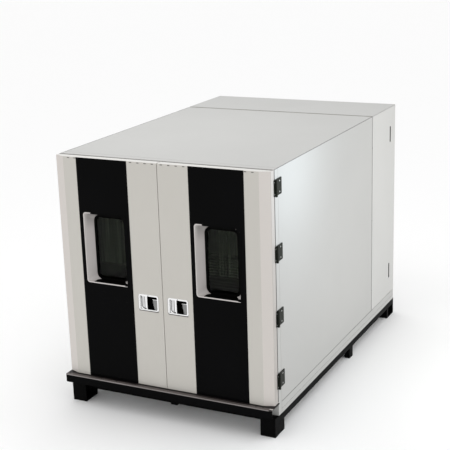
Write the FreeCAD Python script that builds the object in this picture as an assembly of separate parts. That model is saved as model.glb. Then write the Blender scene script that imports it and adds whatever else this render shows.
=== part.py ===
import FreeCAD, Part
import math
import os

# Walk-in battery test chamber with two insulated doors at the front (facing -Y)
# and a refrigeration machine room at the rear. Millimetres, +Z up, the origin on
# the floor under the middle of the outer box.

# Body and base
body_width = 1900.0
body_height = 2000.0
hull_depth = 2258.0
machine_depth = 678.0
machine_seam = 8.0
machine_proud = 3.0
wall_thickness = 100.0
floor_thickness = 150.0
foot_height = 100.0
rail_height = 60.0
rail_width = 60.0
rail_overhang = 17.0
centre_beam_drop = 15.0
frame_depth = 60.0
portal_side = 110.0
portal_head = 110.0
threshold_height = 174.0

# Feet
foot_width = 130.0
foot_length = 180.0
foot_lead = 74.0
foot_plate = 12.0
foot_wall = 10.0
rear_foot_length = 200.0
middle_foot_width = 50.0
middle_foot_length = 80.0
middle_foot_place = 1724.0
anchor_radius = 9.0

# Doors
door_depth = 99.0
door_seal_gap = 4.0
door_seam = 5.0
door_skin = 3.0
bevel_width = 84.0
bevel_depth = 30.0
band_inner = 272.0
band_outer = 742.0
band_thickness = 1.5
plug_depth = 40.0
plug_clearance = 8.0
seal_width = 36.0
seal_inset = 8.0
meeting_gap = 0.5
meeting_depth = 20.0

# Sill under the doors
sill_height = 110.0
sill_clearance = 4.0
sill_reach = 50.0
sill_overhang = 8.0
sill_thickness = 5.0
sill_lip = 45.0
sill_brace = 75.0
sill_brace_share = 0.45

# Windows
window_place = 507.0
window_bottom = 955.0
window_width = 390.0
window_height = 590.0
window_corner = 20.0
glass_corner = 60.0
jamb_splay = 40.0
head_splay = 30.0
reveal_depth = 85.0
jamb_wall = 4.0
flange_width = 4.0
flange_proud = 1.0
gasket_width = 23.0
gasket_thickness = 6.0
glass_thickness = 6.0
glass_edge = 12.0
pane_setback = 2.0
window_clearance = 1.0
reveal_clearance = 0.3

# Latches
latch_place = 135.0
latch_height = 840.0
latch_width = 188.0
latch_tall = 138.0
latch_rim = 10.0
latch_rim_proud = 3.0
latch_depth = 34.0
latch_wall = 2.5
latch_corner = 10.0
latch_bevel = 4.0
latch_clearance = 0.5
paddle_width = 52.0
paddle_margin = 6.5
paddle_thick = 16.0
paddle_sink = 2.0
paddle_swell = 4.0
paddle_end_gap = 1.0
pin_radius = 3.0
running_clearance = 0.05
arm_length = 119.0
arm_size = 8.0
paddle_swing = 25.0
pocket_height = 130.0
pocket_skin = 6.0
rod_radius = 6.0
rod_clearance = 0.6
rod_travel = 12.0
rod_reach = 7.0
rod_setback = 12.0
keeper_clearance = 2.0
cam_height = 44.0
cam_thickness = 4.0
cam_clearance = 1.0

# Door hinges
hinge_heights = (296.0, 818.0, 1339.0, 1858.0)
hinge_tall = 130.0
hinge_offset = 12.0
hinge_lead = 2.0
hinge_relief = 9.0
hinge_gap = 1.0
hinge_corner = 8.0
barrel_radius = 10.0
hinge_pin_radius = 4.0
hinge_leaf = 5.0
hinge_reach = 119.0
hinge_door_reach = 21.0
knuckle_gap = 0.5

# Skirt along both sides
skirt_height = 97.0
skirt_step = 40.0
skirt_thickness = 4.0
skirt_proud = 2.0
skirt_gap = 3.0
skirt_bead = 1.5

# Chamber fittings
liner = 2.0
plenum_depth = 350.0
baffle_thickness = 3.0
slot_count = 14
slot_margin = 100.0
slot_width = 30.0
slot_low = 90.0
slot_tall = 260.0
shelf_height = 780.0
shelf_depth = 900.0
shelf_setback = 420.0
shelf_bar = 30.0
shelf_gap = 6.0
shelf_slats = 11
slat_width = 24.0
slat_thickness = 8.0
shelf_rail = 40.0
shelf_rail_thickness = 3.0
lamp_length = 260.0
lamp_width = 110.0
lamp_depth = 45.0
lamp_corner = 18.0
lamp_setback = 240.0
port_radius = 50.0
port_wall = 4.0
port_place = 900.0
port_height = 1100.0
port_flange = 75.0
port_flange_thickness = 6.0

# Fans in the chamber and their motors
fan_wall_gap = 420.0
fan_height = 1520.0
fan_radius = 180.0
fan_hub = 50.0
fan_blades = 6
fan_blade_depth = 60.0
fan_shaft = 12.0
fan_clearance = 12.0
shaft_room = 4.0
shaft_grip = 25.0
shaft_end_gap = 5.0
blade_thickness = 2.5
blade_tip_gap = 2.0
blade_bow = 0.045
blade_root_pitch = 48.0
blade_middle_pitch = 34.0
blade_tip_pitch = 24.0
motor_radius = 70.0
motor_length = 150.0
motor_flange = 95.0
motor_flange_thickness = 12.0
motor_cap = 48.0
motor_cap_depth = 22.0
terminal_box = 70.0
terminal_lift = 25.0

# Coil and heaters in the plenum
coil_low = 430.0
coil_tall = 500.0
coil_depth = 150.0
coil_setback = 110.0
coil_plate = 3.0
coil_edge = 8.0
heater_depth = 110.0
heater_tall = 90.0
heater_plate = 3.0
heater_end_gap = 200.0
heater_plate_share = 0.92
heater_tube = 6.0
heater_rows = (0.28, 0.72)
heater_columns = (0.23, 0.5, 0.77)

# Machine room
tube = 40.0
tray_thickness = 3.0
panel_depth = 30.0
panel_sheet = 2.0
panel_gap = 3.0
service_pin_inset = 9.0
service_pin = 4.0
service_lugs = (300.0, 1000.0, 1700.0)
lug_radius = 6.5
lug_thickness = 6.0
lug_block = 17.5
pin_reach = 10.5
grip_height = 155.0
grip_width = 30.0
grip_depth = 18.0
grip_inset = 150.0
grip_places = (345.0, 1735.0)
louvre_count = 12
louvre_pitch = 40.0
louvre_length = 620.0
louvre_gap = 60.0
louvre_low = 120.0
louvre_tall = 22.0
louvre_wall = 1.5
louvre_proud = 9.0

# Control panel on the left service door
control_share = 0.45
control_place = 1280.0
control_width = 260.0
control_height = 380.0
control_depth = 20.0
fascia_gap = 2.0
fascia_thickness = 3.0
bezel_width = 210.0
bezel_height = 160.0
bezel_depth = 8.0
bezel_rim = 13.0
screen_step = 2.0
screen_lift = 90.0
switch_spread = 60.0
switch_drop = 100.0
stem_depth = 8.0
stem_clearance = 1.0
stop_stem = 11.0
stop_head = 20.0
stop_thickness = 12.0
stop_lift = 15.0
stop_travel = 4.0
isolator_stem = 6.0
knob_radius = 24.0
knob_disc = 6.0
knob_bar = 12.0
knob_lift = 21.5

# Refrigeration
condenser_radius = 230.0
condenser_height = 1500.0
condenser_depth = 70.0
condenser_hub = 60.0
condenser_blades = 5
condenser_fan_depth = 50.0
condenser_fan_inset = 34.0
duct_width = 840.0
duct_height = 580.0
duct_depth = 150.0
duct_sheet = 3.0
mouth_wall = 3.0
guard_wire = 4.0
guard_rings = (0.3, 0.48, 0.65, 0.83, 1.035)
guard_spokes = 8
guard_hub = 55.0
guard_overlap = 14.0
spindle_radius = 8.0
spindle_reach = 58.0
compressor_radius = 110.0
compressor_height = 330.0
compressor_dome = 45.0
compressor_inset = 540.0
compressor_plate = 260.0
compressor_stand = 22.0
compressor_foot = 16.0
plate_thickness = 10.0
shell_lift = 8.0
pipe_radius = 8.0
pipe_rise = 120.0
pipe_bend = 60.0
switchgear_margin = 130.0
switchgear_width = 460.0
switchgear_depth = 210.0
switchgear_low = 480.0
switchgear_tall = 800.0
switchgear_rim = 15.0

# Places worked out from the sizes above
half = body_width / 2
stand = foot_height + rail_height
roof = stand + body_height
overall_depth = sill_reach + door_depth + hull_depth + machine_seam + machine_depth + rail_overhang
door_front = sill_reach - overall_depth / 2
face = door_front + door_depth
seam = face + hull_depth
machine_front = seam + machine_seam
rear = machine_front + machine_depth
rail_end = rear + rail_overhang
door_back = face - door_seal_gap
door_low = stand + sill_height + sill_clearance
portal_half = half - portal_side
portal_low = stand + threshold_height
portal_high = roof - portal_head
plug_half = portal_half - plug_clearance
plug_low = portal_low + plug_clearance
plug_high = portal_high - plug_clearance
plug_back = face + plug_depth
frame_back = face + frame_depth
bulkhead_front = seam - wall_thickness
room_half = half - wall_thickness
room_low = stand + floor_thickness
room_high = roof - wall_thickness
baffle_front = bulkhead_front - liner - plenum_depth
window_low = stand + window_bottom
window_middle = window_low + window_height / 2
glass_width = window_width - 2 * jamb_splay
glass_height = window_height - head_splay
glass_middle = window_low + glass_height / 2
latch_middle = stand + latch_height
axis_x = half + hinge_offset
axis_y = face + hinge_lead
machine_half = half + machine_proud
machine_top = roof + machine_proud
service_low = stand + skirt_height + skirt_gap * 2
post_half = machine_half - panel_depth - panel_gap
sill_half = half + sill_overhang
fan_place = room_half - fan_wall_gap
compressor_place = post_half - compressor_inset


def vec(x, y, z):
    return FreeCAD.Vector(x, y, z)


def box(x0, x1, y0, y1, z0, z1):
    return Part.makeBox(x1 - x0, y1 - y0, z1 - z0, vec(x0, y0, z0))


def rod(radius, length, start, direction):
    return Part.makeCylinder(radius, length, start, direction)


def plan(points, z0, z1):
    """A prism raised from an outline in the XY plane."""
    wire = Part.makePolygon([vec(x, y, z0) for x, y in points + points[:1]])
    return Part.Face(wire).extrude(vec(0, 0, z1 - z0))


def front(points, y0, y1):
    """A prism run back from an outline in the XZ plane."""
    wire = Part.makePolygon([vec(x, y0, z) for x, z in points + points[:1]])
    return Part.Face(wire).extrude(vec(0, y1 - y0, 0))


def side(points, x0, x1):
    """A prism run along X from an outline in the YZ plane."""
    wire = Part.makePolygon([vec(x0, y, z) for y, z in points + points[:1]])
    return Part.Face(wire).extrude(vec(x1 - x0, 0, 0))


def ring_wire(cx, cz, width, height, corner, y):
    """A closed rounded rectangle in the XZ plane at y."""
    w, h, r = width / 2, height / 2, corner
    k = r * (1 - math.sqrt(0.5))
    edges = []
    for sx, sz, lead in ((1, 1, False), (1, -1, True), (-1, -1, False), (-1, 1, True)):
        a = vec(cx + sx * (w - r), y, cz + sz * h)
        b = vec(cx + sx * w, y, cz + sz * (h - r))
        middle = vec(cx + sx * (w - k), y, cz + sz * (h - k))
        ends = (b, a) if lead else (a, b)
        edges.append((ends[0], middle, ends[1]))
    result = []
    for i, (start, middle, end) in enumerate(edges):
        result.append(Part.Arc(start, middle, end).toShape())
        following = edges[(i + 1) % 4][0]
        result.append(Part.LineSegment(end, following).toShape())
    return Part.Wire(result)


def rounded(cx, cz, width, height, corner, y0, y1):
    face_ = Part.Face(ring_wire(cx, cz, width, height, corner, y0))
    return face_.extrude(vec(0, y1 - y0, 0))


def mirrored(shape):
    return shape.mirror(vec(0, 0, 0), vec(1, 0, 0))


def handed(shapes, sign):
    """Right-hand solids as they are, or mirrored for the left."""
    return shapes if sign > 0 else [mirrored(s) for s in shapes]


def both(shapes):
    return shapes + [mirrored(s) for s in shapes]


nodes = {}


# Base frame and feet
def base_rails():
    z0, z1 = stand - rail_height, stand
    inner = half - rail_width
    rails = both([box(inner, half, face, rail_end, z0, z1)])
    for y in cross_rail_places():
        rails.append(box(-inner, inner, y, y + rail_width, z0, z1))
    places = cross_rail_places()
    for a, b in zip(places[:-1], places[1:]):
        rails.append(box(-rail_width / 2, rail_width / 2, a + rail_width, b, z0 - centre_beam_drop, z1))
    nose = box(-rail_width / 2, rail_width / 2, face, face + rail_width, z0 - centre_beam_drop, z0)
    return rails + [nose]


def cross_rail_places():
    return [face, face + middle_foot_place - foot_lead - rail_width, seam - rail_width, rail_end - rail_width]


def front_foot():
    """A folded steel post, open towards the middle, with an anchor hole in its plate."""
    y0 = face - foot_lead
    x0 = half - foot_width
    top = stand - rail_height
    shape = box(x0, half, y0, y0 + foot_length, 0, top).fuse(box(x0, half, y0, face, top, stand))
    low = box(x0, half - foot_wall, y0 + foot_wall, y0 + foot_length - foot_wall, foot_plate, top - foot_wall)
    high = box(x0, half - foot_wall, y0 + foot_wall, face - foot_wall, top - foot_wall, stand - foot_wall)
    hole = rod(anchor_radius, foot_plate, vec(anchor_x(), front_anchor_y(), 0), vec(0, 0, 1))
    return shape.removeSplitter().cut(low).cut(high).cut(hole)


def anchor_x():
    return half - foot_width / 2


def front_anchor_y():
    return face - foot_lead + foot_length / 2


def rear_anchor_y():
    return rail_end - rear_foot_length / 2


def rear_foot():
    """An open loop of bent flat bar under the rear end of a rail."""
    y0 = rail_end - rear_foot_length
    x0 = half - foot_width
    top = stand - rail_height
    shape = box(x0, half, y0, rail_end, 0, top)
    gap = box(x0, half, y0 + 3 * foot_wall, rail_end - 2 * foot_wall, foot_plate, top)
    hole = rod(anchor_radius, foot_plate, vec(anchor_x(), rear_anchor_y(), 0), vec(0, 0, 1))
    return shape.cut(gap).cut(hole)


def feet():
    y = face + middle_foot_place - foot_lead
    middle = box(half - middle_foot_width, half, y, y + middle_foot_length, 0, stand - rail_height)
    return both([front_foot(), middle, rear_foot()])


# Insulated hull
def wall_panel(sign):
    """A sandwich wall, mitred at its top edge and thinner behind the skirt."""
    low = stand
    step = stand + skirt_height + skirt_gap
    skin = half + skirt_proud - skirt_thickness
    outline = [(room_half, low), (skin, low), (skin, step), (half, step), (half, roof), (room_half, room_high)]
    panel = front(outline, frame_back, seam)
    if sign < 0:
        panel = mirrored(panel)
        y = frame_back + port_place
        panel = panel.cut(rod(port_radius + port_wall, wall_thickness, vec(-half, y, port_z()), vec(1, 0, 0)))
    return [panel]


def port_z():
    return stand + port_height


def roof_panel():
    outline = [(-half, roof), (half, roof), (room_half, room_high), (-room_half, room_high)]
    return [front(outline, frame_back, seam)]


def floor_panel():
    return [box(-room_half, room_half, frame_back, bulkhead_front, stand, room_low)]


def bulkhead_panel():
    panel = box(-room_half, room_half, bulkhead_front, seam, stand, room_high)
    for x in fan_places():
        start = vec(x, bulkhead_front, fan_z())
        panel = panel.cut(rod(fan_shaft + shaft_room, wall_thickness, start, vec(0, 1, 0)))
    return [panel]


def fan_places():
    return (-fan_place, fan_place)


def fan_z():
    return stand + fan_height


def chamber_liner():
    outer = box(-room_half, room_half, frame_back, bulkhead_front, room_low, room_high)
    inner = box(-room_half + liner, room_half - liner, frame_back, bulkhead_front - liner,
                room_low + liner, room_high - liner)
    sheet = outer.cut(inner)
    y = frame_back + port_place
    sheet = sheet.cut(rod(port_radius + port_wall, liner, vec(-room_half, y, port_z()), vec(1, 0, 0)))
    for x in fan_places():
        start = vec(x, bulkhead_front - liner, fan_z())
        sheet = sheet.cut(rod(fan_shaft + shaft_room, liner, start, vec(0, 1, 0)))
    return [sheet]


def door_frame():
    """Two jambs, a head and a threshold, butted, with keeper holes for the rods."""
    jamb = box(portal_half, half, face, frame_back, stand, roof)
    head = box(-portal_half, portal_half, face, frame_back, portal_high, roof)
    sill = box(-portal_half, portal_half, face, frame_back, stand, portal_low)
    for x in (-rod_x(), rod_x()):
        keeper = rod(rod_radius + keeper_clearance, 2 * rod_travel, vec(x, rod_y(), portal_high), vec(0, 0, 1))
        head = head.cut(keeper)
        lower = rod(rod_radius + keeper_clearance, 2 * rod_travel, vec(x, rod_y(), portal_low), vec(0, 0, -1))
        sill = sill.cut(lower)
    return both([jamb]) + [head, sill]


def door_sill():
    """A folded tread plate with a turned-down front lip."""
    top = stand + sill_height
    y0 = door_front - sill_reach
    t = sill_thickness
    outline = [(face, top), (y0 + t, top), (y0, top - t), (y0, top - sill_lip), (y0 + t, top - sill_lip),
               (y0 + t, top - 2 * t), (y0 + 2 * t, top - t), (face, top - t)]
    plate = side(outline, -sill_half, sill_half)
    brace = side([(face, top - t), (door_front, top - t), (face, top - sill_brace)], -t, t)
    braces = []
    for i in range(-2, 3):
        copy = brace.copy()
        copy.translate(vec(i * sill_half * sill_brace_share, 0, 0))
        braces.append(copy)
    return [plate] + braces


def side_skirts():
    """A pressed strip along the foot of each side, with a shallow step."""
    inner = half + skirt_proud - skirt_thickness
    outer = half + skirt_proud
    low = stand
    top = stand + skirt_height
    step = stand + skirt_step
    b = skirt_bead
    outline = [(inner, low), (outer, low), (outer, step - b), (outer - b, step), (outer, step + b),
               (outer, top - b), (outer - b, top), (inner, top)]
    return both([front(outline, frame_back, rear)])


# Doors, drawn for the right leaf and mirrored for the left
def door_outline(inset):
    """Plan of the bevelled front pan, inset by a sheet's thickness."""
    slope = math.hypot(bevel_width, bevel_depth)
    back = inset * (slope - bevel_width) / bevel_depth
    x0 = door_seam / 2 + inset
    x1 = half - bevel_width - back
    x2 = half - inset
    y0 = door_front + inset
    y2 = door_front + bevel_depth + inset * (slope - bevel_depth) / bevel_width
    return [(x0, y0), (x1, y0), (x2, y2), (x2, door_back), (x0, door_back)]


def window_hole(extra, y0, y1):
    return rounded(window_place, window_middle, window_width + extra, window_height + extra,
                   window_corner + extra / 2, y0, y1)


def glass_hole(extra, y0, y1):
    return rounded(window_place, glass_middle, glass_width + extra, glass_height + extra,
                   glass_corner + extra / 2, y0, y1)


def same_latch(shapes, sign):
    """Both leaves use one latch: on the left leaf it is moved across, not mirrored."""
    for shape in shapes:
        shape.translate(vec((sign - 1) * latch_place, 0, 0))
    return shapes


def latch_hole(extra, y0, y1):
    return rounded(latch_place, latch_middle, latch_width - 2 * latch_rim + extra,
                   latch_tall - 2 * latch_rim + extra, latch_corner, y0, y1)


def door_pan():
    outer = plan(door_outline(0), door_low, roof)
    inner = plan(door_outline(door_skin), door_low + door_skin, roof - door_skin)
    pan = outer.cut(inner)
    deep = door_front + 2 * door_skin
    pan = pan.cut(window_hole(0, door_front - 1, deep))
    pan = pan.cut(latch_hole(0, door_front - 1, deep))
    return pan.cut(box(-half, half, door_back - door_skin, face, door_low - 1, roof + 1)
                   .common(plan(door_outline(door_skin), door_low + door_skin, roof - door_skin)))


def door_band():
    """The black glazed strip on the front of each door, with the window cut in it."""
    band = box(band_inner, band_outer, door_front - band_thickness, door_front, door_low, roof)
    return band.cut(window_hole(0, door_front - band_thickness - 1, door_front + 1))


def reveal_cone(grow, y0, y1):
    """The splayed space of the window reveal, widened by grow."""
    a = ring_wire(window_place, window_middle, window_width + grow, window_height + grow,
                  window_corner + grow / 2, y0)
    b = ring_wire(window_place, glass_middle, glass_width + grow, glass_height + grow,
                  glass_corner + grow / 2, y1)
    return Part.makeLoft([a, b], True, True)


def reveal_back():
    return door_front + reveal_depth


def window_frame():
    """A moulded reveal: flange on the front, splayed jambs and a rear lip for the glass."""
    y1 = reveal_back()
    lip = y1 + glass_thickness
    inner = reveal_cone(-2 * jamb_wall, door_front, y1)
    outer = reveal_cone(0, door_front, y1)
    y0 = door_front - band_thickness
    flange = rounded(window_place, window_middle, window_width + 2 * flange_width,
                     window_height + 2 * flange_width, window_corner + flange_width,
                     y0 - flange_proud, y0)
    neck = window_hole(0, y0, door_front)
    shape = outer.fuse([flange, neck]).removeSplitter()
    mouth = window_hole(-2 * jamb_wall, y0 - flange_proud, door_front)
    back = glass_hole(2 * glass_edge, y1, lip).cut(glass_hole(2 * (glass_edge - jamb_wall), y1, lip))
    seat = glass_hole(2 * glass_edge, y1 - jamb_wall, y1).cut(reveal_cone(0, door_front, y1))
    return shape.cut(inner).cut(mouth).fuse([back, seat]).removeSplitter()


def window_panes():
    y1 = reveal_back()
    outer = glass_hole(2 * (glass_edge - jamb_wall), y1, y1 + glass_thickness)
    back = plug_back - pane_setback
    inner = glass_hole(2 * glass_edge, back - glass_thickness, back)
    return [outer, inner]


def window_gasket():
    y1 = reveal_back()
    ring = glass_hole(-2 * jamb_wall, y1 - gasket_thickness, y1)
    hole = glass_hole(-2 * gasket_width, y1 - gasket_thickness - 1, y1 + 1)
    return ring.cut(hole).common(reveal_cone(-2 * jamb_wall, door_front, y1))


def door_core(sign):
    """Foam-filled inner pan with its raised plug, window tunnel, latch pocket and rod bores."""
    block = plan(door_outline(door_skin), door_low + door_skin, roof - door_skin)
    plug = box(plug_inner(), plug_half, door_back - door_skin, plug_back, plug_low, plug_high)
    core = block.fuse(plug).removeSplitter()
    y1 = reveal_back()
    core = core.cut(window_hole(2 * window_clearance, door_front, door_front + door_skin))
    core = core.cut(reveal_cone(2 * reveal_clearance, door_front, y1))
    core = core.cut(glass_hole(2 * glass_edge, y1 - jamb_wall, y1 + glass_thickness))
    core = core.cut(glass_hole(0, y1, plug_back))
    core = core.cut(glass_hole(2 * glass_edge, plug_back - glass_thickness - pane_setback, plug_back))
    core = handed([core], sign)[0]
    x = latch_place
    mouth = latch_hole(2 * latch_clearance, door_front, door_front + latch_depth + latch_wall)
    pocket = box(paddle_axis_x() - 1.5 * arm_size, x + 3 * rod_radius,
                 door_front + latch_depth, plug_back - pocket_skin,
                 latch_middle - pocket_height / 2, latch_middle + pocket_height / 2)
    bore = rod(rod_radius + rod_clearance, plug_high - plug_low, vec(x, rod_y(), plug_low), vec(0, 0, 1))
    return core.cut(same_latch([mouth, pocket, bore], sign))


def plug_inner():
    return door_seam / 2 + door_skin


def rod_x():
    return latch_place


def rod_y():
    return face + rod_setback


def door_seal():
    """A three-sided gasket on the frame side and a strip where the leaves meet."""
    o = half - seal_inset
    i = o - seal_width
    low = door_low + seal_inset
    high = roof - seal_inset
    outline = [(door_seam / 2, high), (o, high), (o, low), (door_seam / 2, low),
               (door_seam / 2, low + seal_width), (i, low + seal_width),
               (i, high - seal_width), (door_seam / 2, high - seal_width)]
    ring = front(outline, door_back, face)
    strip = box(meeting_gap, plug_inner(), face, face + meeting_depth, plug_low, plug_high)
    return [ring, strip]


def latch_pan():
    """A dished chrome pan: bevelled rim, deep cavity, ears for the paddle pin and a slot behind."""
    x, z = latch_place, latch_middle
    y0 = door_front - latch_rim_proud
    rim_back = ring_wire(x, z, latch_width, latch_tall, latch_corner + latch_rim, door_front)
    rim_front = ring_wire(x, z, latch_width - 2 * latch_bevel, latch_tall - 2 * latch_bevel,
                          latch_corner + latch_rim - latch_bevel, y0)
    rim = Part.makeLoft([rim_back, rim_front], True, True)
    dish = latch_hole(0, y0, door_front + latch_depth + latch_wall)
    hollow = latch_hole(-2 * latch_wall, y0 - 1, door_front + latch_depth)
    pan = rim.fuse(dish).removeSplitter().cut(hollow)
    slot = box(paddle_axis_x() - arm_size, paddle_axis_x() + 3 * arm_size, door_front + latch_depth - 1,
               door_front + latch_depth + latch_wall + 1, z - arm_size, z + arm_size)
    pan = pan.cut(slot)
    tall = latch_tall - 2 * latch_rim - 2 * latch_wall
    pin = rod(pin_radius, tall, vec(paddle_axis_x(), paddle_axis_y(), z - tall / 2), vec(0, 0, 1))
    return pan.fuse(pin)


def paddle_axis_x():
    return latch_place - latch_width / 2 + latch_rim + latch_wall + paddle_margin + paddle_thick / 2


def paddle_axis_y():
    return door_front + paddle_thick / 2 + paddle_sink


def latch_paddle():
    """A rounded upright grip that turns on its pin, with an arm reaching back to the rods."""
    tall = latch_tall - 2 * latch_rim - 2 * latch_wall - 2 * paddle_end_gap
    z0 = latch_middle - tall / 2
    r = paddle_thick / 2
    px, py = paddle_axis_x(), paddle_axis_y()
    x1 = px + paddle_width - r
    nose = vec(x1 + r, py, z0)
    path = [Part.Arc(vec(px, py + r, z0), vec(px - r, py, z0), vec(px, py - r, z0)).toShape(),
            Part.Arc(vec(px, py - r, z0), vec((px + x1) / 2, py - r - paddle_swell, z0),
                     vec(x1, py - r, z0)).toShape(),
            Part.Arc(vec(x1, py - r, z0), nose, vec(x1, py + r * 0.4, z0)).toShape(),
            Part.LineSegment(vec(x1, py + r * 0.4, z0), vec(x1 - 2 * r, py + r, z0)).toShape(),
            Part.LineSegment(vec(x1 - 2 * r, py + r, z0), vec(px, py + r, z0)).toShape()]
    grip = Part.Face(Part.Wire(path)).extrude(vec(0, 0, tall))
    h = arm_size / 2
    arm = box(px - h, px + h, py, py + arm_length, latch_middle - h, latch_middle + h)
    shape = grip.fuse(arm)
    bore = rod(pin_radius + running_clearance, tall, vec(px, py, z0), vec(0, 0, 1))
    return shape.cut(bore)


def cam_slot(up):
    """The slanted window that the paddle's arm runs in, worked out over its swing."""
    low = []
    high = []
    lead = rod_y() - paddle_axis_y()
    room = arm_size / 2 + cam_clearance
    steps = 5
    for i in range(steps + 1):
        angle = math.radians(paddle_swing) * i / steps
        x = paddle_axis_x() + lead * math.tan(angle)
        z = latch_middle + up * rod_travel * i / steps
        low.append((x + up * room, z - room))
        high.append((x - up * room, z + room))
    left = paddle_axis_x() - room - cam_clearance
    right = paddle_axis_x() + (lead + cam_thickness) * math.tan(math.radians(paddle_swing)) + 2 * room
    low = [(left, low[0][1])] + low + [(right, low[-1][1])]
    high = [(left, high[0][1])] + high + [(right, high[-1][1])]
    return front(low + high[::-1], rod_y() - 3 * rod_radius, rod_y() + 3 * rod_radius)


def door_rod(up):
    """A bolt rod in the plug, with a cam plate whose slanted slot the paddle's arm drives."""
    x, y = rod_x(), rod_y()
    start = latch_middle + up * (cam_height / 2 + 2 * rod_travel + 2 * cam_clearance)
    end = plug_high + rod_reach if up > 0 else plug_low - rod_reach
    bar = rod(rod_radius, abs(end - start), vec(x, y, min(start, end)), vec(0, 0, 1))
    x0 = paddle_axis_x() - arm_size
    y0 = y - rod_radius if up > 0 else y + rod_radius - cam_thickness
    ends = sorted((latch_middle - up * cam_height / 2, latch_middle + up * cam_height * 1.25))
    plate = box(x0, x + 2 * rod_radius, y0, y0 + cam_thickness, ends[0], ends[1])
    return bar.fuse(plate.cut(cam_slot(up))).removeSplitter()


def hinge_plate(y0, y1, z0, far):
    """A leaf with rounded corners at its far end."""
    leaf = box(half, half + hinge_leaf, y0, y1, z0, z0 + hinge_tall)
    corners = [e for e in leaf.Edges if e.BoundBox.XLength > 1 and abs(e.BoundBox.YMin - far) < 0.1
               and e.BoundBox.ZLength < 0.1]
    return leaf.makeFillet(hinge_corner, corners)


def hinge_leaf_rows(root):
    solids = []
    third = hinge_tall / 3
    for middle in hinge_heights:
        z0 = stand + middle - hinge_tall / 2
        if root:
            leaf = hinge_plate(axis_y + barrel_radius, face + hinge_reach, z0, face + hinge_reach)
            spans = [(z0, third - knuckle_gap), (z0 + 2 * third + knuckle_gap, third - knuckle_gap)]
            web = [box(half, half + hinge_leaf, axis_y, axis_y + barrel_radius, a, a + h) for a, h in spans]
            knuckles = [rod(barrel_radius, h, vec(axis_x, axis_y, a), vec(0, 0, 1)) for a, h in spans]
            pin = rod(hinge_pin_radius, third + 2 * knuckle_gap, vec(axis_x, axis_y, spans[0][0] + spans[0][1]),
                      vec(0, 0, 1))
            solids.append(leaf.fuse(web + knuckles + [pin]).removeSplitter())
        else:
            y0 = face - hinge_door_reach
            leaf = hinge_plate(y0, axis_y - barrel_radius - hinge_gap, z0, y0)
            web = box(half, half + hinge_leaf, y0, axis_y - hinge_pin_radius, z0 + third + knuckle_gap,
                      z0 + 2 * third - knuckle_gap)
            web = web.cut(box(half - 1, half + hinge_gap, door_back, face + hinge_relief, z0, z0 + hinge_tall))
            knuckle = rod(barrel_radius, third - 2 * knuckle_gap, vec(axis_x, axis_y, z0 + third + knuckle_gap),
                          vec(0, 0, 1))
            bore = rod(hinge_pin_radius + running_clearance, hinge_tall, vec(axis_x, axis_y, z0), vec(0, 0, 1))
            solids.append(leaf.fuse([web, knuckle]).removeSplitter().cut(bore))
    return solids


def doors():
    for name, sign in (("right", 1), ("left", -1)):
        nodes[name + "_door_pan"] = handed([door_pan()], sign)
        nodes[name + "_door_band"] = handed([door_band()], sign)
        nodes[name + "_door_core"] = [door_core(sign)]
        nodes[name + "_door_seal"] = handed(door_seal(), sign)
        nodes[name + "_window_frame"] = handed([window_frame()], sign)
        nodes[name + "_window_panes"] = handed(window_panes(), sign)
        nodes[name + "_window_gasket"] = handed([window_gasket()], sign)
        nodes[name + "_latch_pan"] = same_latch([latch_pan()], sign)
        nodes[name + "_latch_paddle"] = same_latch([latch_paddle()], sign)
        nodes[name + "_upper_rod"] = same_latch([door_rod(1)], sign)
        nodes[name + "_lower_rod"] = same_latch([door_rod(-1)], sign)
        nodes[name + "_door_hinges"] = handed(hinge_leaf_rows(False), sign)


# Chamber fittings
def air_baffle():
    """The plenum wall: a sheet with a slotted return below, and two fan rings."""
    y0 = baffle_front
    w = room_half - liner
    sheet = box(-w, w, y0, y0 + baffle_thickness, room_low + liner, room_high - liner)
    mouth = fan_radius + fan_clearance
    rings = []
    for x in fan_places():
        sheet = sheet.cut(rod(mouth, baffle_thickness, vec(x, y0, fan_z()), vec(0, 1, 0)))
        start = vec(x, y0 + baffle_thickness, fan_z())
        ring = rod(mouth + baffle_thickness, fan_blade_depth - baffle_thickness, start, vec(0, 1, 0))
        rings.append(ring.cut(rod(mouth, fan_blade_depth, start, vec(0, 1, 0))))
    first = slot_margin - w
    pitch = -2 * first / slot_count
    for i in range(slot_count):
        x = first + (i + 0.5) * pitch
        sheet = sheet.cut(box(x - slot_width / 2, x + slot_width / 2, y0, y0 + baffle_thickness,
                              room_low + slot_low, room_low + slot_low + slot_tall))
    return [sheet] + rings


def blade_wire(radius, chord, pitch, bow, thick, y):
    """A bowed blade section on the plane x = radius, turned by its pitch."""
    c, s = math.cos(math.radians(pitch)), math.sin(math.radians(pitch))

    def at(a, b):
        return vec(radius, y + a * s - b * c, a * c + b * s)
    h = chord / 2
    t = thick / 2
    top = Part.Arc(at(-h, t), at(0, bow + t), at(h, t)).toShape()
    end = Part.LineSegment(at(h, t), at(h, -t)).toShape()
    low = Part.Arc(at(h, -t), at(0, bow - t), at(-h, -t)).toShape()
    start = Part.LineSegment(at(-h, -t), at(-h, t)).toShape()
    return Part.Wire([top, end, low, start])


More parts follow.
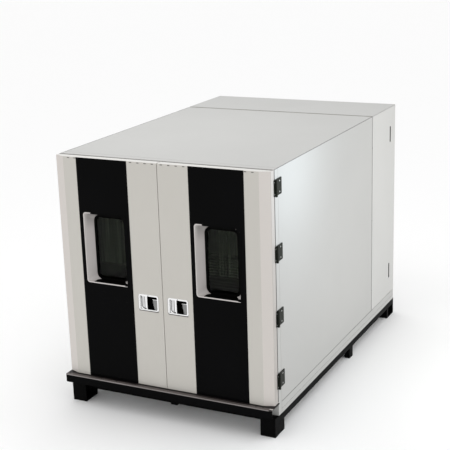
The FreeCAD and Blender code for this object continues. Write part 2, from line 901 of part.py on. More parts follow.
def fan_wheel(hub, radius, depth, blades, y):
    """A hub with twisted, bowed blades about the Y axis, centred on x = z = 0."""
    wheel = rod(hub, depth * 0.8, vec(0, y - depth * 0.4, 0), vec(0, 1, 0))
    tip = radius - blade_tip_gap
    bow = radius * blade_bow
    root = blade_wire(hub * 0.92, hub * 0.9, blade_root_pitch, bow * 0.65, blade_thickness * 1.6, y)
    middle = blade_wire((hub + tip) / 2, radius * 0.45, blade_middle_pitch, bow * 0.9, blade_thickness * 1.2, y)
    end = blade_wire(tip, radius * 0.5, blade_tip_pitch, bow, blade_thickness, y)
    blade = Part.makeLoft([root, middle, end], True, False)
    for i in range(blades):
        turned = blade.copy()
        turned.rotate(vec(0, 0, 0), vec(0, 1, 0), 360.0 * i / blades)
        wheel = wheel.fuse(turned)
    return wheel.removeSplitter()


def circulation_fan(x):
    y = baffle_front + fan_blade_depth / 2
    wheel = fan_wheel(fan_hub, fan_radius, fan_blade_depth * 0.8, fan_blades, y)
    shaft = rod(fan_shaft, seam + shaft_grip - y, vec(0, y, 0), vec(0, 1, 0))
    wheel = wheel.fuse(shaft).removeSplitter()
    wheel.translate(vec(x, 0, fan_z()))
    return wheel


def fan_motors():
    solids = []
    back = vec(0, 1, 0)
    for x in fan_places():
        motor = rod(motor_radius, motor_length, vec(x, seam, fan_z()), back)
        flange = rod(motor_flange, motor_flange_thickness, vec(x, seam, fan_z()), back)
        cap = rod(motor_cap, motor_cap_depth, vec(x, seam + motor_length, fan_z()), back)
        middle = seam + motor_length / 2
        terminals = box(x - terminal_box / 2, x + terminal_box / 2, middle - terminal_box / 2,
                        middle + terminal_box / 2, fan_z(), fan_z() + motor_radius + terminal_lift)
        bore = rod(fan_shaft + running_clearance, shaft_grip + shaft_end_gap, vec(x, seam, fan_z()), back)
        solids.append(motor.fuse([flange, cap, terminals]).removeSplitter().cut(bore))
    return solids


def coil_block(x0, x1, y0, y1, z0, z1):
    """A finned block between two end plates."""
    e = coil_edge
    shape = box(x0 + coil_plate, x1 - coil_plate, y0 + e, y1 - e, z0 + e, z1 - e)
    ends = [box(x0, x0 + coil_plate, y0, y1, z0, z1), box(x1 - coil_plate, x1, y0, y1, z0, z1)]
    return shape.fuse(ends).removeSplitter()


def coil_top():
    return room_low + coil_low + coil_tall


def evaporator_coil():
    w = room_half - liner
    y0 = baffle_front + coil_setback
    return [coil_block(-w, w, y0, y0 + coil_depth, room_low + coil_low, coil_top())]


def heater_elements():
    """Tubular heaters carried by three plates that stand on the coil's fins."""
    y0 = baffle_front + coil_setback + (coil_depth - heater_depth) / 2
    z0 = coil_top() - coil_edge
    reach = room_half - heater_end_gap
    t = heater_plate / 2
    plates = []
    for place in (-heater_plate_share, 0, heater_plate_share):
        x = place * reach
        plates.append(box(x - t, x + t, y0, y0 + heater_depth, z0, z0 + heater_tall))
    shape = plates[0].fuse(plates[1:])
    for row in heater_rows:
        for column in heater_columns:
            start = vec(-reach, y0 + column * heater_depth, z0 + row * heater_tall)
            shape = shape.fuse(rod(heater_tube, 2 * reach, start, vec(1, 0, 0)))
    return [shape]


def sample_shelf():
    """A welded frame with slats, resting on the two wall rails."""
    w = room_half - liner - shelf_gap
    y0 = frame_back + shelf_setback
    z0 = stand + shelf_height
    y1 = y0 + shelf_depth
    t = shelf_bar
    bars = [box(-w, w, y0, y0 + t, z0, z0 + t), box(-w, w, y1 - t, y1, z0, z0 + t),
            box(-w, -w + t, y0, y1, z0, z0 + t), box(w - t, w, y0, y1, z0, z0 + t)]
    pitch = (shelf_depth - 2 * t) / (shelf_slats + 1)
    for i in range(1, shelf_slats + 1):
        y = y0 + t + i * pitch
        bars.append(box(-w, w, y - slat_width / 2, y + slat_width / 2, z0 + t - slat_thickness, z0 + t))
    return [bars[0].fuse(bars[1:]).removeSplitter()]


def shelf_rails():
    w = room_half - liner
    y0 = frame_back + shelf_setback - shelf_rail
    z0 = stand + shelf_height
    t = shelf_rail_thickness
    outline = [(w, z0 - shelf_rail), (w, z0), (w - shelf_rail, z0), (w - shelf_rail, z0 - t), (w - t, z0 - t),
               (w - t, z0 - shelf_rail)]
    return both([front(outline, y0, y0 + shelf_depth + 2 * shelf_rail)])


def chamber_lamp():
    """A sealed lamp on the ceiling with rounded lower edges."""
    z1 = room_high - liner
    z0 = z1 - lamp_depth
    y = frame_back + lamp_setback
    body = box(-lamp_length / 2, lamp_length / 2, y - lamp_width / 2, y + lamp_width / 2, z0, z1)
    edges = [e for e in body.Edges if abs(e.BoundBox.ZMax - z0) < 0.1 or e.BoundBox.ZLength > lamp_corner]
    return [body.makeFillet(lamp_corner, edges)]


def cable_port():
    """A flanged tube through the left wall."""
    y = frame_back + port_place
    x0 = -half - port_flange_thickness
    x1 = -room_half + liner + port_flange_thickness
    z = port_z()
    across = vec(1, 0, 0)
    sleeve = rod(port_radius + port_wall, x1 - x0, vec(x0, y, z), across)
    outside = rod(port_flange, port_flange_thickness, vec(x0, y, z), across)
    inside = rod(port_flange, port_flange_thickness, vec(x1 - port_flange_thickness, y, z), across)
    bore = rod(port_radius, x1 - x0, vec(x0, y, z), across)
    return [sleeve.fuse([outside, inside]).removeSplitter().cut(bore)]


# Machine room
def machine_frame():
    """Square-tube posts and rings, a tray for the compressors and lugs for the service doors."""
    p = post_half
    z1 = machine_top - panel_sheet
    y1 = rear - panel_depth
    posts = both([box(p - tube, p, machine_front, machine_front + tube, stand, z1),
                  box(p - tube, p, y1 - tube, y1, stand, z1)])
    bars = []
    for z in (stand, z1 - tube):
        bars += both([box(p - tube, p, machine_front + tube, y1 - tube, z, z + tube)])
        bars += [box(-p + tube, p - tube, machine_front, machine_front + tube, z, z + tube),
                 box(-p + tube, p - tube, y1 - tube, y1, z, z + tube)]
    top = stand + tube
    tray = box(-p + tube, p - tube, machine_front + tube, y1 - tube, top - tray_thickness, top)
    lugs = []
    x, y = service_axis_x(), service_axis_y()
    for z in service_lug_heights():
        lug = box(p, x, y - lug_radius, y + lug_radius, z, z + lug_thickness)
        eye = rod(lug_radius, lug_thickness, vec(x, y, z), vec(0, 0, 1))
        hole = rod(service_pin + running_clearance, lug_thickness, vec(x, y, z), vec(0, 0, 1))
        lugs.append(lug.fuse(eye).removeSplitter().cut(hole))
    return posts + bars + [tray] + both(lugs)


def service_lug_heights():
    return [stand + place for place in service_lugs]


def service_axis_x():
    return machine_half - service_pin_inset


def service_axis_y():
    return machine_front + service_pin_inset


def machine_roof():
    return [box(-machine_half, machine_half, machine_front, rear, machine_top - panel_sheet, machine_top)]


def service_door(with_controls):
    """A folded side cover that swings on pins in the frame's lugs, with two grip recesses."""
    x1 = machine_half
    x0 = x1 - panel_depth
    s = panel_sheet
    z1 = machine_top - panel_sheet - panel_gap
    outer = box(x0, x1, machine_front, rear, service_low, z1)
    pan = outer.cut(box(x0, x1 - s, machine_front + s, rear - s, service_low + s, z1 - s))
    y = rear - grip_inset
    w, h = grip_width / 2, grip_height / 2
    for place in grip_places:
        z = stand + place
        cup = box(x1 - grip_depth - s, x1, y - w - s, y + w + s, z - h - s, z + h + s)
        pan = pan.fuse(cup).cut(box(x1 - grip_depth, x1, y - w, y + w, z - h, z + h))
    ax, ay = service_axis_x(), service_axis_y()
    for z in service_lug_heights():
        t = lug_thickness
        pan = pan.cut(box(x0, x1 - s, machine_front, machine_front + s, z - t, z + 2 * t))
        z0 = z + t + knuckle_gap
        block = box(ax - t, x1 - s, machine_front, ay + t, z0, z0 + lug_block)
        pin = rod(service_pin, lug_block + pin_reach, vec(ax, ay, z0 - pin_reach), vec(0, 0, 1))
        pan = pan.fuse([block, pin])
    if with_controls:
        cy, cz = control_centre()
        w, h = control_width / 2, control_height / 2
        cup = box(x1 - control_depth - s, x1, cy - w - s, cy + w + s, cz - h - s, cz + h + s)
        pan = pan.fuse(cup).cut(box(x1 - control_depth, x1, cy - w, cy + w, cz - h, cz + h))
        for stem in control_holes(stem_clearance):
            pan = pan.cut(stem)
    return pan.removeSplitter()


def control_centre():
    return machine_front + machine_depth * control_share, stand + control_place


def fascia_back():
    return machine_half - control_depth


def control_panel():
    """A fascia in the recess of the left service door, with a screen bezel."""
    x0 = fascia_back()
    cy, cz = control_centre()
    w, h = control_width / 2 - fascia_gap, control_height / 2 - fascia_gap
    plate = box(x0, x0 + fascia_thickness, cy - w, cy + w, cz - h, cz + h)
    face_x = x0 + fascia_thickness
    middle = cz + screen_lift
    w, h = bezel_width / 2, bezel_height / 2
    bezel = box(face_x, face_x + bezel_depth, cy - w, cy + w, middle - h, middle + h)
    w, h = w - bezel_rim, h - bezel_rim
    front_x = face_x + bezel_depth
    screen = box(front_x - screen_step, front_x, cy - w, cy + w, middle - h, middle + h)
    plate = plate.fuse(bezel).cut(screen).removeSplitter()
    for hole in control_holes(running_clearance):
        plate = plate.cut(hole)
    return plate


def stop_centre():
    cy, cz = control_centre()
    return cy - switch_spread, cz - switch_drop


def isolator_centre():
    cy, cz = control_centre()
    return cy + switch_spread, cz - switch_drop


def stem_start():
    return fascia_back() + fascia_thickness - stem_depth


def control_holes(clearance):
    """Stem holes of the stop button and the isolator."""
    x0 = stem_start() - stop_travel - fascia_gap
    length = stem_depth + stop_travel + 2 * fascia_gap
    return [rod(stop_stem + clearance, length, vec(x0, *stop_centre()), vec(1, 0, 0)),
            rod(isolator_stem + clearance, length, vec(x0, *isolator_centre()), vec(1, 0, 0))]


def stop_button():
    """A mushroom head on a round stem."""
    x0 = stem_start()
    out = vec(1, 0, 0)
    stem = rod(stop_stem, stem_depth + stop_lift, vec(x0, *stop_centre()), out)
    head = rod(stop_head, stop_thickness, vec(x0 + stem_depth + stop_lift, *stop_centre()), out)
    head = head.makeFillet(stop_thickness / 3, [head.Edges[0]])
    return stem.fuse(head).removeSplitter()


def isolator_knob():
    """A disc with a raised grip bar."""
    y, z = isolator_centre()
    x0 = stem_start() + stem_depth + knuckle_gap
    disc = rod(knob_radius, knob_disc, vec(x0, y, z), vec(1, 0, 0))
    bar = box(x0, x0 + knob_lift, y - knob_bar / 2, y + knob_bar / 2, z - knob_radius + 1, z + knob_radius - 1)
    stem = rod(isolator_stem, stem_depth + knuckle_gap, vec(stem_start(), y, z), vec(1, 0, 0))
    return disc.fuse([bar, stem]).removeSplitter()


def louvre(x0, z0):
    """A pressed hood, open below, and the space under it."""
    s = panel_sheet
    out = rear + louvre_proud
    hood = side([(rear - s, z0), (out, z0), (out, z0 + louvre_wall), (rear, z0 + louvre_tall),
                 (rear - s, z0 + louvre_tall)], x0, x0 + louvre_length)
    inner = out - louvre_wall
    top = z0 + louvre_tall - 2 * louvre_wall
    under = side([(rear - s - 1, z0 - 1), (inner, z0 - 1), (inner, z0 + 0.8 * louvre_wall), (rear - s, top),
                  (rear - s - 1, top)], x0 + louvre_wall, x0 + louvre_length - louvre_wall)
    return hood, under


def rear_panel():
    """The rear cover: a fan mouth above and pressed louvres below."""
    p = post_half
    s = panel_sheet
    y0 = rear - panel_depth
    z1 = machine_top - panel_sheet - panel_gap
    pan = box(-p, p, y0, rear, service_low, z1)
    pan = pan.cut(box(-p + s, p - s, y0, rear - s, service_low + s, z1 - s))
    centre = vec(0, y0, condenser_z())
    mouth = rod(condenser_radius + mouth_wall, panel_depth, centre, vec(0, 1, 0))
    pan = pan.fuse(mouth).cut(rod(condenser_radius, panel_depth, centre, vec(0, 1, 0)))
    for x0 in (-louvre_length - louvre_gap, louvre_gap):
        for i in range(louvre_count):
            hood, under = louvre(x0, service_low + louvre_low + i * louvre_pitch)
            pan = pan.fuse(hood).cut(under)
    return [pan.removeSplitter()]


def condenser_z():
    return stand + condenser_height


def fan_guard():
    """A round guard whose hub carries the fan's spindle."""
    z = condenser_z()
    y0 = rear
    wire = guard_wire / 2
    back = vec(0, 1, 0)
    rings = []
    for share in guard_rings:
        r = share * condenser_radius
        outer = rod(r + wire, guard_wire, vec(0, y0 + guard_wire, z), back)
        rings.append(outer.cut(rod(r - wire, guard_wire, vec(0, y0 + guard_wire, z), back)))
    shape = rod(guard_hub, 2 * guard_wire, vec(0, y0 + wire, z), back)
    spindle = rod(spindle_radius, spindle_reach + wire, vec(0, y0 + guard_wire - spindle_reach - wire, z), back)
    for i in range(guard_spokes):
        spoke = box(-wire, wire, y0, y0 + guard_wire, guard_hub * 0.7, condenser_radius + guard_overlap)
        spoke.rotate(vec(0, y0, 0), back, 360.0 * i / guard_spokes)
        spoke.translate(vec(0, 0, z))
        shape = shape.fuse(spoke)
    return [shape.fuse(rings + [spindle]).removeSplitter()]


def condenser_fan():
    y = rear - condenser_fan_inset
    wheel = fan_wheel(condenser_hub, condenser_radius - fan_clearance, condenser_fan_depth, condenser_blades, y)
    bore = rod(spindle_radius + running_clearance, condenser_fan_depth + 10,
               vec(0, y - condenser_fan_depth / 2, 0), vec(0, 1, 0))
    wheel = wheel.cut(bore)
    wheel.translate(vec(0, 0, condenser_z()))
    return wheel


def duct_front():
    return rear - panel_depth - duct_depth


def condenser_coil():
    """The finned condenser and the sheet duct between it and the rear cover."""
    z = condenser_z()
    w, h = duct_width / 2, duct_height / 2
    y0 = duct_front()
    coil = coil_block(-w, w, y0 - condenser_depth, y0, z - h, z + h)
    y2 = rear - panel_sheet
    s = duct_sheet
    duct = box(-w, w, y0, y2, z - h, z + h).cut(box(-w + s, w - s, y0, y2, z - h + s, z + h - s))
    return [coil, duct]


def compressor_y():
    return (machine_front + rear) / 2


def compressors():
    """Two hermetic shells on plates with rubber feet, each with a terminal cover."""
    solids = []
    floor = stand + tube
    y = compressor_y()
    b = compressor_plate / 2
    f = b - compressor_foot * 1.5
    up = vec(0, 0, 1)
    for x in (-compressor_place, compressor_place):
        low = floor + compressor_stand
        plate = box(x - b, x + b, y - b, y + b, low, low + plate_thickness)
        base = low + shell_lift
        shell = rod(compressor_radius, compressor_height, vec(x, y, base), up)
        shell = shell.makeFillet(compressor_dome, [e for e in shell.Edges if e.BoundBox.ZLength < 1])
        t = terminal_box / 2
        middle = base + compressor_height / 2
        cover = box(x - t, x + t, y - compressor_radius - terminal_lift, y - compressor_radius / 2,
                    middle - terminal_box * 0.7, middle + terminal_box * 0.7)
        shape = shell.fuse([plate, cover])
        for dx in (-f, f):
            for dy in (-f, f):
                shape = shape.fuse(rod(compressor_foot, compressor_stand, vec(x + dx, y + dy, floor), up))
        solids.append(shape.removeSplitter())
    return solids


def electrical_box():
    """The switchgear cabinet on the bulkhead's rear face."""
    x0 = -post_half + switchgear_margin
    x1 = x0 + switchgear_width
    y1 = seam + switchgear_depth
    z0 = stand + switchgear_low
    z1 = z0 + switchgear_tall
    r = switchgear_rim
    body = box(x0, x1, seam, y1, z0, z1)
    door = box(x0 + r, x1 - r, y1, y1 + r / 2, z0 + r, z1 - r)
    return [body.fuse(door).removeSplitter()]


def refrigerant_lines():
    """Copper lines from each compressor's crown up to the condenser's foot."""
    solids = []
    y0 = compressor_y()
    z0 = stand + tube + compressor_stand + shell_lift + compressor_height
    r = pipe_bend
    y1 = duct_front() - condenser_depth / 2
    top = condenser_z() - duct_height / 2
    k = r * math.sqrt(0.5)
    level = z0 + pipe_rise + r
    for x in (-compressor_place, compressor_place):
        a = vec(x, y0, z0)
        b = vec(x, y0, level - r)
        c = vec(x, y0 + r - k, level - r + k)
        d = vec(x, y0 + r, level)
        e = vec(x, y1 - r, level)
        f = vec(x, y1 - r + k, level + r - k)
        g = vec(x, y1, level + r)
        h = vec(x, y1, top)
        path = Part.Wire([Part.LineSegment(a, b).toShape(), Part.Arc(b, c, d).toShape(),
                          Part.LineSegment(d, e).toShape(), Part.Arc(e, f, g).toShape(),
                          Part.LineSegment(g, h).toShape()])
        profile = Part.Wire([Part.Circle(a, vec(0, 0, 1), pipe_radius).toShape()])
        solids.append(path.makePipeShell([profile], True, False))
    return solids


def build():
    nodes["base_rails"] = base_rails()
    nodes["feet"] = feet()
    nodes["floor_panel"] = floor_panel()
    nodes["right_wall_panel"] = wall_panel(1)
    nodes["left_wall_panel"] = wall_panel(-1)
    nodes["roof_panel"] = roof_panel()
    nodes["bulkhead_panel"] = bulkhead_panel()
    nodes["chamber_liner"] = chamber_liner()
    nodes["door_frame"] = door_frame()
    nodes["door_sill"] = door_sill()
    nodes["side_skirts"] = side_skirts()
    doors()
    nodes["frame_hinges"] = both(hinge_leaf_rows(True))
    nodes["air_baffle"] = air_baffle()
    nodes["evaporator_coil"] = evaporator_coil()
    nodes["heater_elements"] = heater_elements()
    nodes["left_circulation_fan"] = [circulation_fan(-fan_place)]
    nodes["right_circulation_fan"] = [circulation_fan(fan_place)]
    nodes["fan_motors"] = fan_motors()
    nodes["sample_shelf"] = sample_shelf()
    nodes["shelf_rails"] = shelf_rails()
    nodes["chamber_lamp"] = chamber_lamp()
    nodes["cable_port"] = cable_port()
    nodes["machine_frame"] = machine_frame()
    nodes["machine_roof"] = machine_roof()
    nodes["right_service_door"] = [service_door(False)]
    nodes["left_service_door"] = [mirrored(service_door(True))]
    nodes["control_panel"] = [mirrored(control_panel())]
    nodes["stop_button"] = [mirrored(stop_button())]
    nodes["isolator_knob"] = [mirrored(isolator_knob())]
    nodes["rear_panel"] = rear_panel()
    nodes["fan_guard"] = fan_guard()
    nodes["condenser_fan"] = [condenser_fan()]
    nodes["condenser_coil"] = condenser_coil()
    nodes["compressors"] = compressors()
    nodes["electrical_box"] = electrical_box()
    nodes["refrigerant_lines"] = refrigerant_lines()


def save():
    os.makedirs("parts", exist_ok=True)
    for name, solids in nodes.items():
        flat = [s for shape in solids for s in shape.Solids]
        shape = flat[0] if len(flat) == 1 else Part.makeCompound(flat)
        shape.exportStep(os.path.join("parts", name + ".step"))


build()
save()
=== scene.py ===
import math

import bmesh
import bpy
import numpy as np
from bpy.props import FloatProperty, FloatVectorProperty, PointerProperty
from mathutils import Matrix, Vector


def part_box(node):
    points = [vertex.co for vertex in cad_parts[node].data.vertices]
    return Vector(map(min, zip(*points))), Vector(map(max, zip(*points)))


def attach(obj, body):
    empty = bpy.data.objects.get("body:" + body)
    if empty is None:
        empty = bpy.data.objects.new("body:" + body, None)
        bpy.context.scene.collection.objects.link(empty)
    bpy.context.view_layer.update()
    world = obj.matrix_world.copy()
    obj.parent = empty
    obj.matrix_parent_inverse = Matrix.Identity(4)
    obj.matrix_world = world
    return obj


bl_info = {
    "name": "Battery Test Chamber Dressing",
    "version": (1, 0, 0),
    "blender": (4, 5, 0),
    "location": "View3D > Sidebar > Chamber",
    "description": "Materials, fittings and stage for a walk-in battery test chamber",
    "category": "Object",
}

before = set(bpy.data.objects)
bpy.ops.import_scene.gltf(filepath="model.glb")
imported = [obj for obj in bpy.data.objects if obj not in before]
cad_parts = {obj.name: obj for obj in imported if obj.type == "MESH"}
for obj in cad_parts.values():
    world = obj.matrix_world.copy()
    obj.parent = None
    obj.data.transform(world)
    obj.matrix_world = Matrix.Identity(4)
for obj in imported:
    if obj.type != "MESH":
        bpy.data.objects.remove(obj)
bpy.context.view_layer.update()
MM = 0.001


def low(node):
    """The lower corner of a node's box at rest."""
    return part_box(node)[0]


def high(node):
    """The upper corner of a node's box at rest."""
    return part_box(node)[1]


# Places read from the frame
WALL_X = high("roof_panel").x
ROOF_Z = high("roof_panel").z
DOOR_Y = low("right_door_band").y
PAN_Y = low("right_door_pan").y
PAN_BACK_Y = high("right_door_pan").y
HULL_Y = low("door_frame").y
FRAME_BACK_Y = high("door_frame").y
SEAM_Y = high("roof_panel").y
ROOM_Y = low("machine_roof").y
REAR_Y = high("machine_roof").y
MACHINE_X = high("machine_roof").x
SKIRT_Z = high("side_skirts").z
FLOOR_Z = low("side_skirts").z

# Where the doors' outer bevels begin
BEVEL_X = WALL_X - 85 * MM

# Each side's name, and the way its X points
SIDES = (("right", 1), ("left", -1))

# Groups and materials by name, filled in by make_finishes
GROUPS = {}
FINISHES = {}


# Mesh makers: the angle from which an edge stays sharp, and the distance below which points are one
SHARP = math.radians(35)
MERGE = 1e-6


def mesh_piece(name, shape, body, finish, smooth=False):
    """A piece from (points, faces), in its slot's finish and riding on a body."""
    verts, faces = shape
    mesh = bpy.data.meshes.new(name)
    mesh.from_pydata(np.asarray(verts, float).tolist(), [], faces)
    mesh.validate()
    bm = bmesh.new()
    bm.from_mesh(mesh)
    bmesh.ops.remove_doubles(bm, verts=bm.verts, dist=MERGE)
    bmesh.ops.recalc_face_normals(bm, faces=bm.faces)
    bm.to_mesh(mesh)
    bm.free()
    if smooth:
        mesh.shade_smooth()
        mesh.set_sharp_from_angle(angle=SHARP)
    piece = bpy.data.objects.new(name, mesh)
    bpy.context.scene.collection.objects.link(piece)
    mesh.materials.append(FINISHES[finish])
    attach(piece, body)


def grid_faces(rows, columns, closed_rows=False, closed_columns=True):
    """Quads between neighbouring rows and columns of a grid of points, wrapping where it closes."""
    r = np.arange(rows if closed_rows else rows - 1)
    c = np.arange(columns if closed_columns else columns - 1)
    i, j = np.meshgrid(r, c, indexing="ij")
    i2, j2 = (i + 1) % rows, (j + 1) % columns
    quads = np.stack([i * columns + j, i * columns + j2, i2 * columns + j2, i2 * columns + j], -1)
    return quads.reshape(-1, 4).tolist()


def capped(rows, columns):
    """The faces of a grid whose columns close, with one face over each end."""
    ends = [list(range(columns))[::-1], [(rows - 1) * columns + k for k in range(columns)]]
    return grid_faces(rows, columns) + ends


def axes_for(axis):
    """Two unit vectors square to an axis and to each other, and the axis itself."""
    w = np.asarray(axis, float) / np.linalg.norm(axis)
    aid = np.array([0.0, 0.0, 1.0]) if abs(w[2]) < 0.9 else np.array([1.0, 0.0, 0.0])
    u = np.cross(aid, w)
    u /= np.linalg.norm(u)
    return u, np.cross(w, u), w


def turn_steps(count):
    """Angles once round a circle, without the last that meets the first."""
    return np.linspace(0, 2 * math.pi, count, endpoint=False)


def repeat(one, faces, centres):
    """Copies of a set of points, each moved to a centre."""
    centres = np.asarray(centres, float).reshape(-1, 3)
    verts = (one[None] + centres[:, None]).reshape(-1, 3)
    many = [[i + k * len(one) for i in face] for k in range(len(centres)) for face in faces]
    return verts, many


def lathe(profile, centres, axis, count=20):
    """A profile turned about an axis, once at each centre.

    point(s, t) = centre + h(s) * axis + r(s) * (cos t * u + sin t * v).
    """
    u, v, w = axes_for(axis)
    r, h = np.asarray(profile, float).T
    t = turn_steps(count)
    ring = np.cos(t)[:, None] * u + np.sin(t)[:, None] * v
    one = (r[:, None, None] * ring[None] + h[:, None, None] * w).reshape(-1, 3)
    return repeat(one, capped(len(r), count), centres)


def rounded(half_a, half_b, corner, profile, axis, corner_steps):
    """A rounded rectangle's outline, offset and lifted along a profile of (offset d, height h).

    point(s, t) = h(s) * axis + outline(t), the outline's half sizes being
    (a - d(s), b - d(s)) with corners of radius corner - d(s). The first half size
    lies along the first axis square to the normal.
    """
    u, v, w = axes_for(axis)
    d, h = np.asarray(profile, float).T
    quarter = np.linspace(0, math.pi / 2, corner_steps)
    t = np.concatenate([quarter + k * math.pi / 2 for k in range(4)])
    sign_a = np.repeat([1, -1, -1, 1], corner_steps)
    sign_b = np.repeat([1, 1, -1, -1], corner_steps)
    r = np.maximum(corner - d, 0.2 * MM)[:, None]
    a = sign_a * (half_a - d[:, None] - r) + r * np.cos(t)
    b = sign_b * (half_b - d[:, None] - r) + r * np.sin(t)
    return a[..., None] * u + b[..., None] * v + h[:, None, None] * w


def plate(half_a, half_b, corner, profile, centres, axis):
    """A closed plate with a rounded outline, once at each centre."""
    one = rounded(half_a, half_b, corner, profile, axis, 6)
    rows, columns = one.shape[:2]
    return repeat(one.reshape(-1, 3), capped(rows, columns), centres)


def frame_strip(half_a, half_b, corner, profile, centre, axis):
    """A closed bead along a rounded rectangle: its profile is a closed loop of (offset, height)."""
    one = rounded(half_a, half_b, corner, profile, axis, 8) + np.asarray(centre, float)
    rows, columns = one.shape[:2]
    return one.reshape(-1, 3), grid_faces(rows, columns, closed_rows=True)


def circles(path, n, b, radius, count):
    """Circles along a path: point(s, t) = path(s) + radius * (cos t * n(s) + sin t * b(s))."""
    t = turn_steps(count)[None, :, None]
    one = path[:, None] + radius * (np.cos(t) * n[:, None] + np.sin(t) * b[:, None])
    return one.reshape(-1, 3)


def unit(vectors):
    """Each row of an array brought to length 1."""
    return vectors / np.linalg.norm(vectors, axis=1)[:, None]


def tube(path, radius, count=8):
    """A round bar along an open path; n is square to the path and to the axis it spreads least along."""
    path = np.asarray(path, float)
    tangent = unit(np.gradient(path, axis=0))
    aid = np.eye(3)[int(np.argmin(path.max(0) - path.min(0)))]
    n = unit(np.cross(tangent, aid))
    return circles(path, n, np.cross(tangent, n), radius, count), capped(len(path), count)


def wire_ring(path, radius, count=8):
    """A round wire round a closed flat loop in the XZ plane."""
    tangent = unit(np.roll(path, -1, 0) - np.roll(path, 1, 0))
    b = np.broadcast_to([0.0, 1.0, 0.0], path.shape)
    verts = circles(path, np.cross(tangent, b), b, radius, count)
    return verts, grid_faces(len(path), count, closed_rows=True)


def bar(x0, x1, y0, y1, z0, z1):
    """The eight corners and six faces of a plain strip."""
    verts = [(x, y, z) for x in (x0, x1) for y in (y0, y1) for z in (z0, z1)]
    faces = [[0, 1, 3, 2], [4, 6, 7, 5], [0, 4, 5, 1], [2, 3, 7, 6], [0, 2, 6, 4], [1, 5, 7, 3]]
    return np.array(verts, float), faces


def side_bar(sign, x0, x1, *rest):
    """A plain strip between two distances from the middle, on the side that the sign gives."""
    return bar(*sorted((sign * x0, sign * x1)), *rest)


def slab(outline, z0, z1):
    """A flat piece: an outline in plan, carried from z0 to z1."""
    count = len(outline)
    verts = [(x, y, z0) for x, y in outline] + [(x, y, z1) for x, y in outline]
    faces = [list(range(count))[::-1], list(range(count, 2 * count))]
    faces += [[k, (k + 1) % count, (k + 1) % count + count, k + count] for k in range(count)]
    return np.array(verts, float), faces


def joined(*parts):
    """Several sets of points and faces as one."""
    verts = np.concatenate([points for points, sides in parts])
    faces = []
    start = 0
    for points, sides in parts:
        faces += [[i + start for i in face] for face in sides]
        start += len(points)
    return verts, faces


# Shader helpers
def shaded(colour, factor):
    """A colour made darker or lighter."""
    return tuple(factor * c for c in colour)


def add_node(tree, kind, inputs=None, **values):
    """A new node with its settings, and with the inputs that are given as plain values."""
    node = tree.nodes.new(kind)
    for name, value in values.items():
        setattr(node, name, value)
    for name, value in (inputs or {}).items():
        node.inputs[name].default_value = value
    return node


def group_socket(group, name, kind, value):
    """An input socket of a node group with its default."""
    socket = group.interface.new_socket(name=name, in_out="INPUT", socket_type=kind)
    socket.default_value = value


def group_result(group, name, kind):
    """An output socket of a node group."""
    group.interface.new_socket(name=name, in_out="OUTPUT", socket_type=kind)


def object_noise(tree, scale, detail, rough, stretch=(1, 1, 1)):
    """Noise on Object coordinates, stretched by a Mapping node."""
    coords = add_node(tree, "ShaderNodeTexCoord")
    mapping = add_node(tree, "ShaderNodeMapping", {"Scale": stretch})
    noise = add_node(tree, "ShaderNodeTexNoise", {"Scale": scale, "Detail": detail, "Roughness": rough})
    tree.links.new(coords.outputs["Object"], mapping.inputs["Vector"])
    tree.links.new(mapping.outputs["Vector"], noise.inputs["Vector"])
    return noise.outputs["Fac"]


def ramp(tree, source, from_min, from_max, to_min=0.0, to_max=1.0):
    """The source's range mapped to another."""
    node = add_node(tree, "ShaderNodeMapRange", {"From Min": from_min, "From Max": from_max,
                                                 "To Min": to_min, "To Max": to_max})
    tree.links.new(source, node.inputs["Value"])
    return node.outputs["Result"]


def product(tree, first, second):
    """Two values multiplied; the second is a socket or a number."""
    node = add_node(tree, "ShaderNodeMath", operation="MULTIPLY")
    tree.links.new(first, node.inputs[0])
    if isinstance(second, float):
        node.inputs[1].default_value = second
    else:
        tree.links.new(second, node.inputs[1])
    return node.outputs[0]


def blended(tree, factor, under, over):
    """Colour mix: under where the factor is 0, over where it is 1; each a socket or a colour."""
    mix = add_node(tree, "ShaderNodeMix", data_type="RGBA")
    tree.links.new(factor, mix.inputs["Factor"])
    for key, colour in (("A", under), ("B", over)):
        if isinstance(colour, tuple):
            mix.inputs[key].default_value = (*colour, 1)
        else:
            tree.links.new(colour, mix.inputs[key])
    return mix.outputs["Result"]


def masked(tree, axis, start, end):
    """0 to 1 as the object coordinate on one axis (X counts both ways) goes from start to end."""
    coords = add_node(tree, "ShaderNodeTexCoord")
    split = add_node(tree, "ShaderNodeSeparateXYZ")
    tree.links.new(coords.outputs["Object"], split.inputs[0])
    value = split.outputs[axis]
    if axis == "X":
        size = add_node(tree, "ShaderNodeMath", operation="ABSOLUTE")
        tree.links.new(value, size.inputs[0])
        value = size.outputs[0]
    return ramp(tree, value, start, end)


def bump(tree, surface, height, strength, distance):
    """A height that turns the surface's normal."""
    node = add_node(tree, "ShaderNodeBump", {"Strength": strength, "Distance": distance})
    tree.links.new(height, node.inputs["Height"])
    tree.links.new(node.outputs["Normal"], surface.inputs["Normal"])


